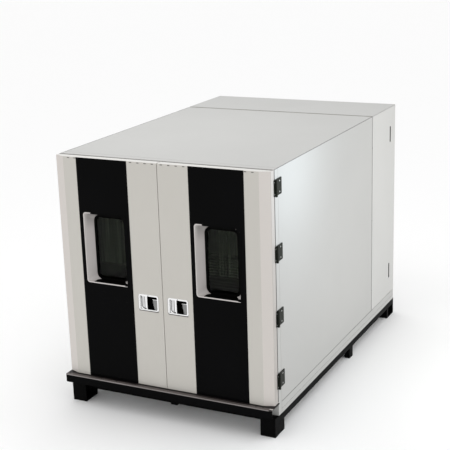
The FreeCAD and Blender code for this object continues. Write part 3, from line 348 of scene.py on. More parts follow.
def coat_group():
    """Sprayed coat: a colour that drifts a little over the sheet, its gloss, and a fine orange peel."""
    group = bpy.data.node_groups.new("sprayed_coat", "ShaderNodeTree")
    group_socket(group, "Colour", "NodeSocketColor", (0.8, 0.8, 0.8, 1))
    group_socket(group, "Shade", "NodeSocketColor", (0.7, 0.7, 0.7, 1))
    group_socket(group, "Drift", "NodeSocketFloat", 0.3)
    group_socket(group, "Roughness", "NodeSocketFloat", 0.35)
    group_result(group, "Result", "NodeSocketColor")
    group_result(group, "Gloss", "NodeSocketFloat")
    group_result(group, "Peel", "NodeSocketFloat")
    start = add_node(group, "NodeGroupInput")
    end = add_node(group, "NodeGroupOutput")
    cloud = object_noise(group, scale=1.4, detail=3.0, rough=0.55)
    peel = object_noise(group, scale=420.0, detail=1.0, rough=0.4)
    amount = product(group, ramp(group, cloud, 0.35, 0.7), start.outputs["Drift"])
    result = blended(group, amount, start.outputs["Colour"], start.outputs["Shade"])
    gloss = add_node(group, "ShaderNodeMath", {1: 0.08}, operation="MULTIPLY_ADD")
    group.links.new(cloud, gloss.inputs[0])
    group.links.new(start.outputs["Roughness"], gloss.inputs[2])
    group.links.new(result, end.inputs["Result"])
    group.links.new(gloss.outputs[0], end.inputs["Gloss"])
    group.links.new(peel, end.inputs["Peel"])
    return group


def wear_group():
    """Workshop wear: a mask of scuffs and settled dust, denser near the floor."""
    group = bpy.data.node_groups.new("workshop_wear", "ShaderNodeTree")
    group_socket(group, "Amount", "NodeSocketFloat", 0.5)
    group_socket(group, "Dust height", "NodeSocketFloat", 0.3)
    group_result(group, "Mask", "NodeSocketFloat")
    start = add_node(group, "NodeGroupInput")
    end = add_node(group, "NodeGroupOutput")
    blotch = object_noise(group, scale=9.0, detail=6.0, rough=0.7)
    coords = add_node(group, "ShaderNodeTexCoord")
    split = add_node(group, "ShaderNodeSeparateXYZ")
    group.links.new(coords.outputs["Object"], split.inputs[0])
    fall = add_node(group, "ShaderNodeMapRange", {"From Min": 0.0, "To Min": 1.0, "To Max": 0.25})
    group.links.new(split.outputs["Z"], fall.inputs["Value"])
    group.links.new(start.outputs["Dust height"], fall.inputs["From Max"])
    settled = product(group, ramp(group, blotch, 0.48, 0.72), fall.outputs["Result"])
    group.links.new(product(group, settled, start.outputs["Amount"]), end.inputs["Mask"])
    return group


def brushed_group():
    """Brushed metal: fine streaks along one way, as a mask."""
    group = bpy.data.node_groups.new("brushed_grain", "ShaderNodeTree")
    group_socket(group, "Strength", "NodeSocketFloat", 0.5)
    group_result(group, "Streak", "NodeSocketFloat")
    start = add_node(group, "NodeGroupInput")
    end = add_node(group, "NodeGroupOutput")
    grain = object_noise(group, scale=30.0, detail=3.0, rough=0.6, stretch=(2, 2, 60))
    group.links.new(product(group, grain, start.outputs["Strength"]), end.inputs["Streak"])
    return group


def shader(name, metallic=0.0, roughness=0.4, specular=0.5):
    """A new material: its node tree and its Principled shader with the plain sockets set."""
    material = bpy.data.materials.new(name)
    material.use_nodes = True
    FINISHES[name] = material
    tree = material.node_tree
    surface = tree.nodes["Principled BSDF"]
    surface.inputs["Metallic"].default_value = metallic
    surface.inputs["Roughness"].default_value = roughness
    surface.inputs["Specular IOR Level"].default_value = specular
    return tree, surface


def coated(name, colour, shade, drift=0.5, roughness=0.35, specular=0.5, peel=0.08, wear=0.0,
           worn=(0.4, 0.38, 0.36), dust_height=0.3):
    """Paint or moulding: a drifting colour with orange peel, and wear where asked."""
    tree, surface = shader(name, roughness=roughness, specular=specular)
    coat = add_node(tree, "ShaderNodeGroup", node_tree=GROUPS["coat"])
    for key, value in (("Colour", (*colour, 1)), ("Shade", (*shade, 1)), ("Drift", drift),
                       ("Roughness", roughness - 0.04)):
        coat.inputs[key].default_value = value
    result = coat.outputs["Result"]
    if wear > 0:
        mask = add_node(tree, "ShaderNodeGroup", node_tree=GROUPS["wear"])
        mask.inputs["Amount"].default_value = wear
        mask.inputs["Dust height"].default_value = dust_height
        result = blended(tree, mask.outputs["Mask"], result, worn)
    tree.links.new(result, surface.inputs["Base Color"])
    tree.links.new(coat.outputs["Gloss"], surface.inputs["Roughness"])
    bump(tree, surface, coat.outputs["Peel"], peel, 0.4 * MM)


def shift(name, masks, colour, strength=1.0):
    """Blends a coated finish towards another colour where every mask (axis, start, end) is 1."""
    tree = FINISHES[name].node_tree
    socket = tree.nodes["Principled BSDF"].inputs["Base Color"]
    under = socket.links[0].from_socket
    factor = strength
    for axis, start, end in masks:
        factor = product(tree, masked(tree, axis, start, end), factor)
    tree.links.new(blended(tree, factor, under, colour), socket)


def metal(name, colour, shade, roughness, streak, grain=0.05):
    """Bare metal: brushed streaks that shift the colour and the gloss."""
    tree, surface = shader(name, metallic=1.0, roughness=roughness)
    brushed = add_node(tree, "ShaderNodeGroup", node_tree=GROUPS["brushed"])
    brushed.inputs["Strength"].default_value = streak
    streaks = brushed.outputs["Streak"]
    tree.links.new(blended(tree, streaks, colour, shade), surface.inputs["Base Color"])
    gloss = ramp(tree, streaks, 0.0, 0.6, roughness - 0.05, roughness + 0.1)
    tree.links.new(gloss, surface.inputs["Roughness"])
    bump(tree, surface, streaks, grain, 0.2 * MM)


def glass(name, tint, shade_line_z):
    """Tinted, coated glass with upright streaks painted as reflections, and painted shade below the height
    shade_line_z.
    """
    tree, surface = shader(name, roughness=0.02)
    surface.inputs["Transmission Weight"].default_value = 1.0
    surface.inputs["IOR"].default_value = 1.17
    # Painted reflection: upright lighter and darker streaks in the glass's colour.
    streak = object_noise(tree, scale=9.0, detail=3.0, rough=0.6, stretch=(6, 1, 0.12))
    reflection_streaked = blended(tree, ramp(tree, streak, 0.35, 0.65), tint, shaded(tint, 0.62))
    # Painted shade: the glass is darker below shade_line_z.
    soft_edge = 6 * MM
    above_shade_line = masked(tree, "Z", shade_line_z - soft_edge, shade_line_z + soft_edge)
    tree.links.new(blended(tree, above_shade_line, shaded(tint, 0.50), reflection_streaked), surface.inputs["Base Color"])


def finned(name, colour, gap, pitch):
    """Coil block: close upright fins, with painted shade as dark gaps between them, and a matching height.

    At scale 1 the wave repeats every pi / 10 = 0.314 m, so its scale is 0.314 / pitch.
    """
    tree, surface = shader(name, metallic=0.8, roughness=0.35)
    coords = add_node(tree, "ShaderNodeTexCoord")
    wave = add_node(tree, "ShaderNodeTexWave", {"Scale": 0.314 / pitch}, wave_type="BANDS",
                    bands_direction="X")
    tree.links.new(coords.outputs["Object"], wave.inputs["Vector"])
    fin = ramp(tree, wave.outputs["Fac"], 0.25, 0.6)
    # Painted shade between the fins.
    tree.links.new(blended(tree, fin, gap, colour), surface.inputs["Base Color"])
    bump(tree, surface, wave.outputs["Fac"], 0.5, 1 * MM)


def paint_finishes(settings):
    """Paints of the hull, the doors and the base, in the colours of the settings."""
    hull, door = tuple(settings.hull), tuple(settings.door)
    bevel, moulding = tuple(settings.bevel), tuple(settings.moulding)
    coated("hull_white", hull, shaded(hull, 0.93), drift=0.4, roughness=0.34)
    coated("roof_white", hull, shaded(hull, 0.96), drift=0.3, roughness=0.4, specular=0.45)
    coated("machine_roof", hull, shaded(hull, 0.95), drift=0.3, roughness=0.4, specular=0.45)
    # Painted light: the machine room's panels take the hull's paint made lighter, for the brighter light on
    # them.
    coated("machine_white_lit", shaded(hull, 1.20), shaded(hull, 1.12), drift=0.4, roughness=0.36)
    coated("door_beige", door, shaded(door, 0.96), drift=0.4, roughness=0.42, specular=0.35)
    # Painted highlight: the doors' outer bevels take a lighter tone, standing in for the brighter light on
    # them.
    shift("door_beige", [("X", BEVEL_X, BEVEL_X + 2 * MM)], bevel)
    # Painted shade: the doors' side faces take a darker tone, to tone down the corner light on them.
    shift("door_beige", [("X", WALL_X - 3 * MM, WALL_X - 1 * MM)], shaded(bevel, 0.74))
    coated("window_moulding", moulding, shaded(moulding, 0.92), drift=0.5, roughness=0.4, specular=0.4)
    face_y, crown_z = low("right_window_frame").y, high("right_window_frame").z
    # Painted shade: the upper part of each window reveal is darkened, as shade under the reveal's top.
    reveal_shade_mask = [("Z", crown_z - 150 * MM, crown_z - 10 * MM), ("Y", face_y + 4 * MM, face_y + 30 * MM)]
    shift("window_moulding", reveal_shade_mask, shaded(moulding, 0.32), strength=0.75)
    coated("band_black", (0.0025, 0.0025, 0.0026), (0.0035, 0.0035, 0.004), drift=0.4, roughness=0.22,
           specular=0.02, peel=0.02)
    coated("base_black", (0.0018, 0.0018, 0.0018), (0.003, 0.003, 0.003), drift=0.6, roughness=0.45,
           specular=0.02, peel=0.15, wear=0.12, worn=(0.012, 0.011, 0.010), dust_height=0.16)
    coated("sill_brown", (0.006, 0.004, 0.004), (0.022, 0.018, 0.017), drift=0.8, roughness=0.4,
           specular=0.2, peel=0.2, wear=0.4, worn=(0.07, 0.06, 0.055), dust_height=0.4)
    coated("core_panel", (0.50, 0.51, 0.51), (0.45, 0.46, 0.46), roughness=0.4)
    # Painted highlight on the doors' folded top edges.
    coated("top_highlight_white", (0.62, 0.61, 0.585), (0.58, 0.57, 0.55), drift=0.4, roughness=0.4, specular=0.4)
    # Painted highlights on the tread's top and hem.
    coated("tread_highlight", (0.13, 0.112, 0.107), (0.075, 0.065, 0.062), drift=0.9, roughness=0.45,
           specular=0.2, peel=0.2)
    coated("tread_hem_highlight", (0.26, 0.24, 0.235), (0.16, 0.145, 0.14), drift=0.9, roughness=0.45,
           specular=0.2, peel=0.2)


def rubber_finishes():
    """Rubbers, sealants and tapes, and a black for painted shade in the latches, round the paddles' feet
    and between the window panes.
    """
    coated("seal_rubber", (0.012, 0.012, 0.012), (0.02, 0.02, 0.02), roughness=0.7, specular=0.3, peel=0.2)
    coated("gasket_black", (0.0012, 0.0012, 0.0010), (0.002, 0.002, 0.0018), roughness=0.7,
           specular=0.03, peel=0.1)
    coated("seam_grey", (0.16, 0.155, 0.15), (0.12, 0.115, 0.11), roughness=0.6, specular=0.2, peel=0.1)
    coated("seam_dark", (0.045, 0.044, 0.042), (0.03, 0.029, 0.028), roughness=0.6, specular=0.1, peel=0.1)
    coated("seam_tape", (0.27, 0.26, 0.235), (0.21, 0.20, 0.18), drift=0.6, roughness=0.5, specular=0.2,
           peel=0.1)
    coated("silicone_grey", (0.42, 0.40, 0.38), (0.36, 0.34, 0.33), roughness=0.6, specular=0.3, peel=0.1)
    # Black for painted shade.
    coated("shade_black", (0.0008, 0.0008, 0.0008), (0.001, 0.001, 0.001), drift=0.3, roughness=0.8,
           specular=0.0, peel=0.0)


def machine_finishes():
    """Castings, mouldings and enamels of the hinges, the machines and the controls."""
    coated("hinge_casting", (0.009, 0.011, 0.008), (0.022, 0.024, 0.020), drift=0.7, roughness=0.4,
           specular=0.06, peel=0.3, wear=0.3, worn=(0.042, 0.042, 0.038), dust_height=2.5)
    coated("motor_enamel", (0.06, 0.075, 0.09), (0.05, 0.06, 0.07), roughness=0.4, peel=0.3, wear=0.25,
           worn=(0.2, 0.19, 0.17), dust_height=1.0)
    coated("fan_moulding", (0.02, 0.02, 0.021), (0.035, 0.035, 0.035), roughness=0.45, specular=0.4)
    coated("control_black", (0.016, 0.016, 0.018), (0.02, 0.02, 0.022), roughness=0.4, specular=0.4)
    coated("stop_red", (0.45, 0.012, 0.008), (0.40, 0.01, 0.008), drift=0.4, roughness=0.2, peel=0.02)
    coated("lamp_opal", (0.78, 0.78, 0.74), (0.74, 0.74, 0.70), drift=0.3, specular=0.4)
    coated("box_beige", (0.60, 0.58, 0.53), (0.56, 0.54, 0.49), drift=0.4, roughness=0.4)
    coated("signal_green", (0.02, 0.30, 0.06), (0.02, 0.26, 0.05), drift=0.3, roughness=0.2, peel=0.0)
    coated("signal_amber", (0.60, 0.26, 0.02), (0.55, 0.22, 0.02), drift=0.3, roughness=0.2, peel=0.0)
    coated("key_grey", (0.20, 0.20, 0.21), (0.18, 0.18, 0.19), drift=0.3, roughness=0.4, specular=0.4,
           peel=0.05)


def metal_finishes():
    """Bare metals, coil fins, the windows' glass and the screen."""
    metal("liner_steel", (0.60, 0.60, 0.58), (0.48, 0.48, 0.46), roughness=0.28, streak=0.7)
    metal("fitting_steel", (0.62, 0.62, 0.60), (0.50, 0.50, 0.48), roughness=0.25, streak=0.5)
    metal("latch_chrome", (0.88, 0.88, 0.88), (0.80, 0.80, 0.81), roughness=0.10, streak=0.2, grain=0.0)
    metal("zinc_steel", (0.50, 0.50, 0.49), (0.38, 0.38, 0.37), roughness=0.36, streak=0.6)
    metal("copper_tube", (0.62, 0.30, 0.19), (0.48, 0.22, 0.14), roughness=0.3, streak=0.6)
    metal("scoop_steel", (0.24, 0.24, 0.24), (0.16, 0.16, 0.16), roughness=0.22, streak=0.3, grain=0.0)
    metal("screw_steel", (0.42, 0.42, 0.41), (0.30, 0.30, 0.29), roughness=0.32, streak=0.4)
    finned("fin_pack", (0.55, 0.55, 0.55), (0.06, 0.06, 0.06), 6 * MM)
    foot_z, head_z = low("right_window_panes").z, high("right_window_panes").z
    # Painted shade on the lower share of each pane.
    shade_share = 0.27
    glass("chamber_glass", (0.72, 0.80, 0.66), foot_z + shade_share * (head_z - foot_z))
    tree, surface = shader("screen_glass")
    surface.inputs["Base Color"].default_value = (0.012, 0.030, 0.050, 1)
    sweep = object_noise(tree, scale=7.0, detail=1.0, rough=0.4)
    tree.links.new(ramp(tree, sweep, 0.3, 0.7, 0.06, 0.14), surface.inputs["Roughness"])


def make_finishes(settings):
    """Every material, named for what it covers."""
    GROUPS["coat"] = coat_group()
    GROUPS["wear"] = wear_group()
    GROUPS["brushed"] = brushed_group()
    paint_finishes(settings)
    rubber_finishes()
    machine_finishes()
    metal_finishes()


def both(*names):
    """The left and right node of each name."""
    return [side + "_" + name for name in names for side, sign in SIDES]


NODE_FINISH = {
    "hull_white": ["left_wall_panel", "right_wall_panel", "side_skirts", "door_frame"],
    "roof_white": ["roof_panel"],
    "machine_roof": ["machine_roof"],
    "machine_white_lit": ["rear_panel", *both("service_door")],
    "core_panel": ["floor_panel", "bulkhead_panel", *both("door_core")],
    "base_black": ["base_rails", "feet", "machine_frame"],
    "sill_brown": ["door_sill"],
    "door_beige": both("door_pan"),
    "band_black": both("door_band"),
    "window_moulding": both("window_frame"),
    "chamber_glass": both("window_panes"),
    "seal_rubber": both("door_seal"),
    "gasket_black": both("window_gasket"),
    "latch_chrome": both("latch_pan", "latch_paddle"),
    "zinc_steel": [*both("upper_rod", "lower_rod"), "fan_guard", "heater_elements"],
    "hinge_casting": ["frame_hinges", *both("door_hinges")],
    "liner_steel": ["chamber_liner", "air_baffle"],
    "fitting_steel": ["sample_shelf", "shelf_rails", "cable_port"],
    "fin_pack": ["evaporator_coil", "condenser_coil"],
    "fan_moulding": [*both("circulation_fan"), "condenser_fan"],
    "motor_enamel": ["fan_motors", "compressors"],
    "copper_tube": ["refrigerant_lines"],
    "lamp_opal": ["chamber_lamp"],
    "box_beige": ["electrical_box"],
    "control_black": ["control_panel"],
    "key_grey": ["isolator_knob"],
    "stop_red": ["stop_button"],
}


def dress_nodes():
    """Puts its material on every CAD node and stops if one is left out."""
    left = set(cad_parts)
    for finish, names in NODE_FINISH.items():
        for name in names:
            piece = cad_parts[name]
            piece.data.materials.clear()
            piece.data.materials.append(FINISHES[finish])
            left.discard(name)
    if left:
        raise RuntimeError("no finish for " + ", ".join(sorted(left)))


# Doors
SCREW = np.array([(7.0, 0.0), (7.0, 1.2), (5.6, 2.8), (3.2, 3.4), (2.9, 1.6), (0.05, 1.5)]) * MM
RIVET = np.array([(5.0, 0.0), (4.8, 1.2), (3.4, 2.4), (0.05, 2.8)]) * MM
BARREL_CAP = np.array([(9.6, 0), (9.2, 1.5), (6.5, 3.2), (0.05, 3.8)]) * MM

# Half the height of a hinge's barrel, and each hinge's drop from the uppermost
BARREL_HALF = 65 * MM
HINGE_DROPS = (0.0, 0.519, 1.040, 1.562)

# Half the height of a latch's opening, and how deep the pan's floor lies behind the door's face
LATCH_HALF = 56 * MM
LATCH_DEPTH = 33.5 * MM

# How far a trim, tape or edge stands out from the sheet it lies on, and how far it is let in
PROUD = 0.6 * MM
LET_IN = 0.5 * MM


def hinge_screws(settings):
    """Socket-head screws on both leaves of each hinge, and domed caps on the barrels."""
    size = settings.screw / (2 * SCREW[0, 0])
    small = 0.62 * size
    heights = [high("frame_hinges").z - BARREL_HALF - drop for drop in HINGE_DROPS]
    leaf_x = WALL_X + 5 * MM
    barrel_x = high("frame_hinges").x - 10 * MM
    barrel_y = HULL_Y + 2 * MM
    for side, sign in SIDES:
        x = sign * leaf_x
        fixed = [(x, HULL_Y + 78 * MM, z + dz) for z in heights for dz in (-42 * MM, 42 * MM)]
        screws = lathe(SCREW * size, fixed, (sign, 0, 0))
        mesh_piece(side + "_hinge_screws", screws, "root", "screw_steel", smooth=True)
        moving = [(x, HULL_Y - 14.5 * MM, z + dz) for z in heights for dz in (-46 * MM, 46 * MM)]
        screws = lathe(SCREW * small, moving, (sign, 0, 0))
        mesh_piece(side + "_door_hinge_screws", screws, side + "_door", "screw_steel", smooth=True)
        x = sign * barrel_x
        tops = lathe(BARREL_CAP, [(x, barrel_y, z + BARREL_HALF) for z in heights[1:]], (0, 0, 1))
        feet = lathe(BARREL_CAP, [(x, barrel_y, z - BARREL_HALF) for z in heights], (0, 0, -1))
        mesh_piece(side + "_hinge_caps", joined(tops, feet), "root", "hinge_casting",
                   smooth=True)


def latch_scoop(cx, middle_z):
    """The finger scoop, and the bright bead along its crown and free edge.

    The scoop is a quarter ellipse in plan, carried upright, whose free edge sweeps outwards at its foot.
    With s along the plan curve and v from foot (0) to crown (1): x0(v) = edge + 19 mm * (1 - v) ** 2,
    x = x0 + (x1 - x0) * (1 - cos(s)), y = y1 - (y1 - y0) * sin(s), and the crown rises 9 mm along s.
    """
    count, rows = 14, 7
    s, v = np.meshgrid(np.linspace(0, math.pi / 2, count), np.linspace(0, 1, rows))
    x1 = cx + 81.2 * MM
    y0, y1 = PAN_Y + 2 * MM, PAN_Y + 32 * MM
    x0 = cx + 18 * MM + 19 * MM * (1 - v) ** 2
    x = x0 + (x1 - x0) * (1 - np.cos(s))
    y = y1 - (y1 - y0) * np.sin(s)
    z = middle_z - LATCH_HALF - 0.2 * MM + v * (81 * MM + 9 * MM * 2 * s / math.pi)
    front = np.stack([x, y, z], -1)
    back = np.stack([np.minimum(x + 1.5 * MM, x1 + 0.2 * MM), y + 1.2 * MM, z], -1)[::-1]
    faces = grid_faces(2 * rows, count, closed_rows=True, closed_columns=False)
    for k in range(rows - 1):
        a, b = k * count, (2 * rows - 1 - k) * count
        faces.append([a, a + count, b - count, b])
        faces.append([a + count - 1, b + count - 1, b - 1, a + 2 * count - 1])
    forward = (0, -1 * MM, 0)
    bead = joined(tube(front[-1] + forward, 2.8 * MM), tube(front[:, 0] + forward, 2.2 * MM))
    return (np.concatenate([front, back]).reshape(-1, 3), faces), bead


def latch_ramps(cx, middle_z):
    """Bright slopes in the latch: one up from the lower rim to the floor, one beside the paddle."""
    y0, y1 = PAN_Y + 0.5 * MM, PAN_Y + 32.5 * MM
    z0, z1 = middle_z - LATCH_HALF, middle_z - LATCH_HALF + 12 * MM
    x0, x1 = cx - 22 * MM, cx + 80 * MM
    slope = [(x0, y0, z0), (x1, y0, z0), (x1, y1, z0), (x0, y1, z0), (x0, y1, z1), (x1, y1, z1)]
    slope_faces = [[0, 3, 2, 1], [0, 1, 5, 4], [2, 3, 4, 5], [0, 4, 3], [1, 2, 5]]
    x0, x1 = cx - 81.4 * MM, cx - 76.8 * MM
    near, far = PAN_Y + 4.5 * MM, PAN_Y + 12.5 * MM
    cheek = slab([(x0, y0), (x1, near), (x1, far), (x0, far)], middle_z - LATCH_HALF, middle_z + LATCH_HALF)
    return joined((np.array(slope), slope_faces), cheek)


def paddle_patch(side, u0, u1, bottom, top):
    """A thin strip that follows the paddle's face, with u from 0 to 1 across its 52 mm.

    Left of the pin (x < 8 mm) the face is the barrel, y = 12 - sqrt(64 - (8 - x) ** 2) mm, and right of it
    an arc, y = 4 * ((x - 30) / 22) ** 2 mm. Bottom and top are heights over the paddle's foot.
    """
    count = 12
    lo = low(side + "_latch_paddle")
    across = 52.0 * np.linspace(u0, u1, count)
    barrel = 12.0 - np.sqrt(np.maximum(64.0 - (8.0 - across) ** 2, 0.0))
    x = lo.x + across * MM
    y = lo.y + np.where(across < 8.0, barrel, 4.0 * ((across - 30.0) / 22.0) ** 2) * MM
    z0, z1 = np.full(count, lo.z) + bottom, np.full(count, lo.z) + top
    front, back = y - 0.4 * MM, y + 1.0 * MM
    loop = [np.stack(row, -1) for row in ((x, front, z0), (x, front, z1), (x, back, z1), (x, back, z0))]
    ends = [[k * count for k in range(4)], [k * count + count - 1 for k in (0, 3, 2, 1)]]
    return np.concatenate(loop), grid_faces(4, count, closed_rows=True, closed_columns=False) + ends


def paddle_marks(side):
    """Pressed bands on the paddle, a dark notch at its head and a painted shadow curving round its foot.

    The foot's curve is z(u) = 1 mm + 30 mm * (1 - u) ** 2 as u runs from 0.3 of the paddle to its edge.
    """
    body = side + "_paddle"
    head = high(side + "_latch_paddle").z - low(side + "_latch_paddle").z
    bands = joined(paddle_patch(side, 0.15, 0.40, 18 * MM, head - 4 * MM),
                   paddle_patch(side, 0.53, 0.61, 10 * MM, head - 3 * MM),
                   paddle_patch(side, 0.73, 0.86, 6 * MM, head - 3 * MM))
    mesh_piece(side + "_paddle_lines", bands, body, "scoop_steel", smooth=True)
    wedge = paddle_patch(side, 0.07, 0.24, head - 1 * MM - np.linspace(0.0, 12 * MM, 12), head - 0.5 * MM)
    step = paddle_patch(side, 0.24, 0.38, head - 16 * MM, head - 8 * MM)
    mesh_piece(side + "_paddle_notch", joined(wedge, step), body, "seam_dark")
    # Painted shadow round the paddle's foot.
    curve = 1 * MM + 30 * MM * (1 - np.linspace(0.30, 1.0, 12)) ** 2
    foot = paddle_patch(side, 0.30, 1.0, curve, curve + 8.5 * MM)
    mesh_piece(side + "_paddle_foot_shadow", foot, body, "shade_black")


def latch_fittings():
    """Inside of each latch: a black cavity floor as painted shade, finger scoop, lock slot, slopes, a grey
    strip below it as painted shadow, and gasket.
    """
    middle_z = (low("right_latch_pan").z + high("right_latch_pan").z) / 2
    floor_y = PAN_Y + LATCH_DEPTH
    for side, sign in SIDES:
        body = side + "_door"
        cx = (low(side + "_latch_pan").x + high(side + "_latch_pan").x) / 2
        face_y = low(side + "_latch_pan").y
        # Painted shade: the cavity's floor is black.
        floor = bar(cx - 36 * MM, cx + 81 * MM, floor_y - 0.8 * MM, floor_y,
                    middle_z - LATCH_HALF, middle_z + LATCH_HALF)
        mesh_piece(side + "_latch_shade_floor", floor, body, "shade_black")
        scoop, bead = latch_scoop(cx, middle_z)
        mesh_piece(side + "_latch_scoop", scoop, body, "scoop_steel", smooth=True)
        mesh_piece(side + "_scoop_edge", bead, body, "latch_chrome", smooth=True)
        slot = bar(cx - 3.0 * MM, cx + 1.8 * MM, face_y - 0.6 * MM, face_y + 0.2 * MM,
                   middle_z + 58.5 * MM, middle_z + 66.5 * MM)
        mesh_piece(side + "_latch_lock", slot, body, "seam_dark")
        mesh_piece(side + "_latch_ramps", latch_ramps(cx, middle_z), body, "latch_chrome")
        # Painted shadow: a grey strip under the latch.
        shadow_strip = bar(cx - 86 * MM, cx + 91 * MM, PAN_Y - 1.8 * MM, PAN_Y + 0.5 * MM,
                   middle_z - 73.5 * MM, middle_z - 69.0 * MM)
        mesh_piece(side + "_latch_shadow_strip", shadow_strip, body, "seam_grey")
        # The gasket sits 1.6 mm low, so more of it shows below the pan as painted shadow.
        pad = np.array([(0.0, -0.8), (0.0, 0.8), (3.0, 0.8), (3.0, -0.8)]) * MM
        gasket = frame_strip(94.5 * MM, 70 * MM, 20 * MM, pad, (cx, PAN_Y, middle_z - 1.6 * MM), (0, -1, 0))
        mesh_piece(side + "_latch_gasket", gasket, body, "seam_grey", smooth=True)
        paddle_marks(side)


def window_fittings():
    """Black lining between the panes, painted shade over the tunnel between them, the bead that holds the
    outer pane and a drying spacer.
    """
    half_a, half_b, corner = 154.5 * MM, 279.5 * MM, 59.5 * MM
    pane = 6.2 * MM
    t = turn_steps(8)
    for side, sign in SIDES:
        body = side + "_door"
        lo, hi = low(side + "_window_panes"), high(side + "_window_panes")
        centre = ((lo.x + hi.x) / 2, 0, (lo.z + hi.z) / 2)
        y0, y1 = lo.y + pane, hi.y - pane
        loop = [(0.0, y0), (0.0, y1), (1.6 * MM, y1), (1.6 * MM, y0)]
        # Painted shade: a black lining hides the light walls between the panes.
        shade_lining = frame_strip(half_a, half_b, corner, loop, centre, (0, 1, 0))
        mesh_piece(side + "_window_shade_lining", shade_lining, body, "shade_black", smooth=True)
        loop = np.stack([(4.5 + 3.0 * np.cos(t)) * MM, lo.y + (-3.0 + 2.8 * np.sin(t)) * MM], -1)
        bead = frame_strip(half_a, half_b, corner, loop, centre, (0, 1, 0))
        mesh_piece(side + "_pane_bead", bead, body, "gasket_black", smooth=True)
        loop = np.stack([(6.0 + 4.5 * np.cos(t)) * MM, y0 + (6.0 + 4.5 * np.sin(t)) * MM], -1)
        spacer = frame_strip(half_a, half_b, corner, loop, centre, (0, 1, 0))
        mesh_piece(side + "_pane_spacer", spacer, body, "key_grey", smooth=True)


def plug_rivets():
    """A row of rivets round each door's plug, on the inside."""
    inner, outer = 30 * MM, 800 * MM
    foot, head = 372 * MM, 2012 * MM
    for side, sign in SIDES:
        y = high(side + "_door_core").y
        level = [(sign * x, y, z) for z in (foot, head) for x in np.linspace(inner, outer, 7)]
        upright = [(sign * x, y, z) for x in (inner, outer) for z in np.linspace(foot, head, 12)[1:-1]]
        rivets = lathe(RIVET, level + upright, (0, 1, 0), 12)
        mesh_piece(side + "_plug_rivets", rivets, side + "_door", "fitting_steel", smooth=True)


def window_trims():
    """Each window's black trims: a strip over its upper and right flange, a black strip and cheek on its
    lower reveal.
    """
    flange, corner = 11.5 * MM, 36 * MM
    foot = 12 * MM
    for side, sign in SIDES:
        body = side + "_door"
        lo, hi = low(side + "_window_frame"), high(side + "_window_frame")
        inner_x, edge_x = hi.x - flange, hi.x + LET_IN
        inner_z, edge_z = hi.z - flange, hi.z + LET_IN
        front, back = lo.y - PROUD, lo.y + 2 * PROUD
        strip = joined(bar(inner_x, edge_x, front, back, lo.z + foot, edge_z),
                       bar(lo.x + 70 * MM, inner_x, front, back, inner_z, edge_z),
                       bar(hi.x - corner, inner_x, lo.y - LET_IN, back, hi.z - corner, inner_z),
                       bar(hi.x - corner, inner_x, lo.y - LET_IN, back, lo.z + foot, lo.z + corner))
        mesh_piece(side + "_window_trim", strip, body, "band_black")
        pane_y = low(side + "_window_panes").y - LET_IN
        # A black strip along the lower reveal and a black cheek beside it.
        lower_strip = bar(lo.x + 62 * MM, hi.x - 12 * MM, lo.y + 6 * MM, pane_y, lo.z + 10 * MM, lo.z + 18 * MM)
        cheek = bar(hi.x - 16 * MM, hi.x - 11 * MM, lo.y + 4 * MM, pane_y, lo.z + 16 * MM, lo.z + 80 * MM)
        mesh_piece(side + "_window_sill_black", joined(lower_strip, cheek), body, "gasket_black")


def door_tops():
    """On each door's top: a folded edge painted lighter as a highlight, a grey seam behind it, dark dashes
    in the front fold.
    """
    inner, outer = 4 * MM, WALL_X - 3 * MM
    fold_y, seam_y = PAN_Y + 62 * MM, PAN_Y + 87 * MM
    half_dash = 10 * MM
    dash_places = [*np.arange(0.040, 0.290, 0.065), *np.arange(0.755, 0.860, 0.060)]
    outline = [(inner, PAN_Y + 1 * MM), (BEVEL_X, PAN_Y + 1 * MM), (outer, PAN_Y + 30.5 * MM),
               (outer, fold_y), (inner, fold_y)]
    for side, sign in SIDES:
        body = side + "_door"
        top = high(side + "_door_pan").z
        z0, z1 = top - LET_IN, top + PROUD
        # Painted highlight: the folded top edge is lighter than the door, as light falls on the top.
        edge = slab([(sign * x, y) for x, y in outline[::sign]], z0, z1)
        mesh_piece(side + "_top_edge_highlight", edge, body, "top_highlight_white")
        mesh_piece(side + "_top_seam", side_bar(sign, inner, outer, fold_y, seam_y, z0, z1), body,
                   "seam_grey")
        # Dark dashes along the front fold.
        dashes = [side_bar(sign, x - half_dash, x + half_dash, PAN_Y - 0.4 * MM, PAN_Y + 0.5 * MM,
                         top - 11 * MM, top - 5.5 * MM) for x in dash_places]
        mesh_piece(side + "_fold_dashes", joined(*dashes), body, "seam_dark")


def door_lips():
    """Rubber lips that close the gap between each leaf and the frame, at its outer edge and top; the dark
    side lip also stands in for the shade in the gap.
    """
    inset = 1.2 * MM
    lip_back = HULL_Y - 0.3 * MM
    for side, sign in SIDES:
        foot_z = low(side + "_door_pan").z + 10 * MM
        # The dark side lip is partly painted shade for the gap beside the leaf.
        upright = side_bar(sign, WALL_X - 10 * MM, WALL_X - inset, PAN_BACK_Y, lip_back,
                           foot_z, ROOF_Z - 1.5 * MM)
        strip = side_bar(sign, WALL_X - inset, WALL_X + LET_IN, PAN_BACK_Y - 8 * MM, PAN_BACK_Y - 0.2 * MM,
                         foot_z, ROOF_Z - 1.5 * MM)
        mesh_piece(side + "_side_shade_lip", joined(upright, strip), side + "_door", "seam_dark")
        top = side_bar(sign, 4 * MM, WALL_X - 11 * MM, PAN_BACK_Y, lip_back,
                       ROOF_Z - 10 * MM, ROOF_Z - inset)
        mesh_piece(side + "_top_lip", top, side + "_door", "seam_grey")


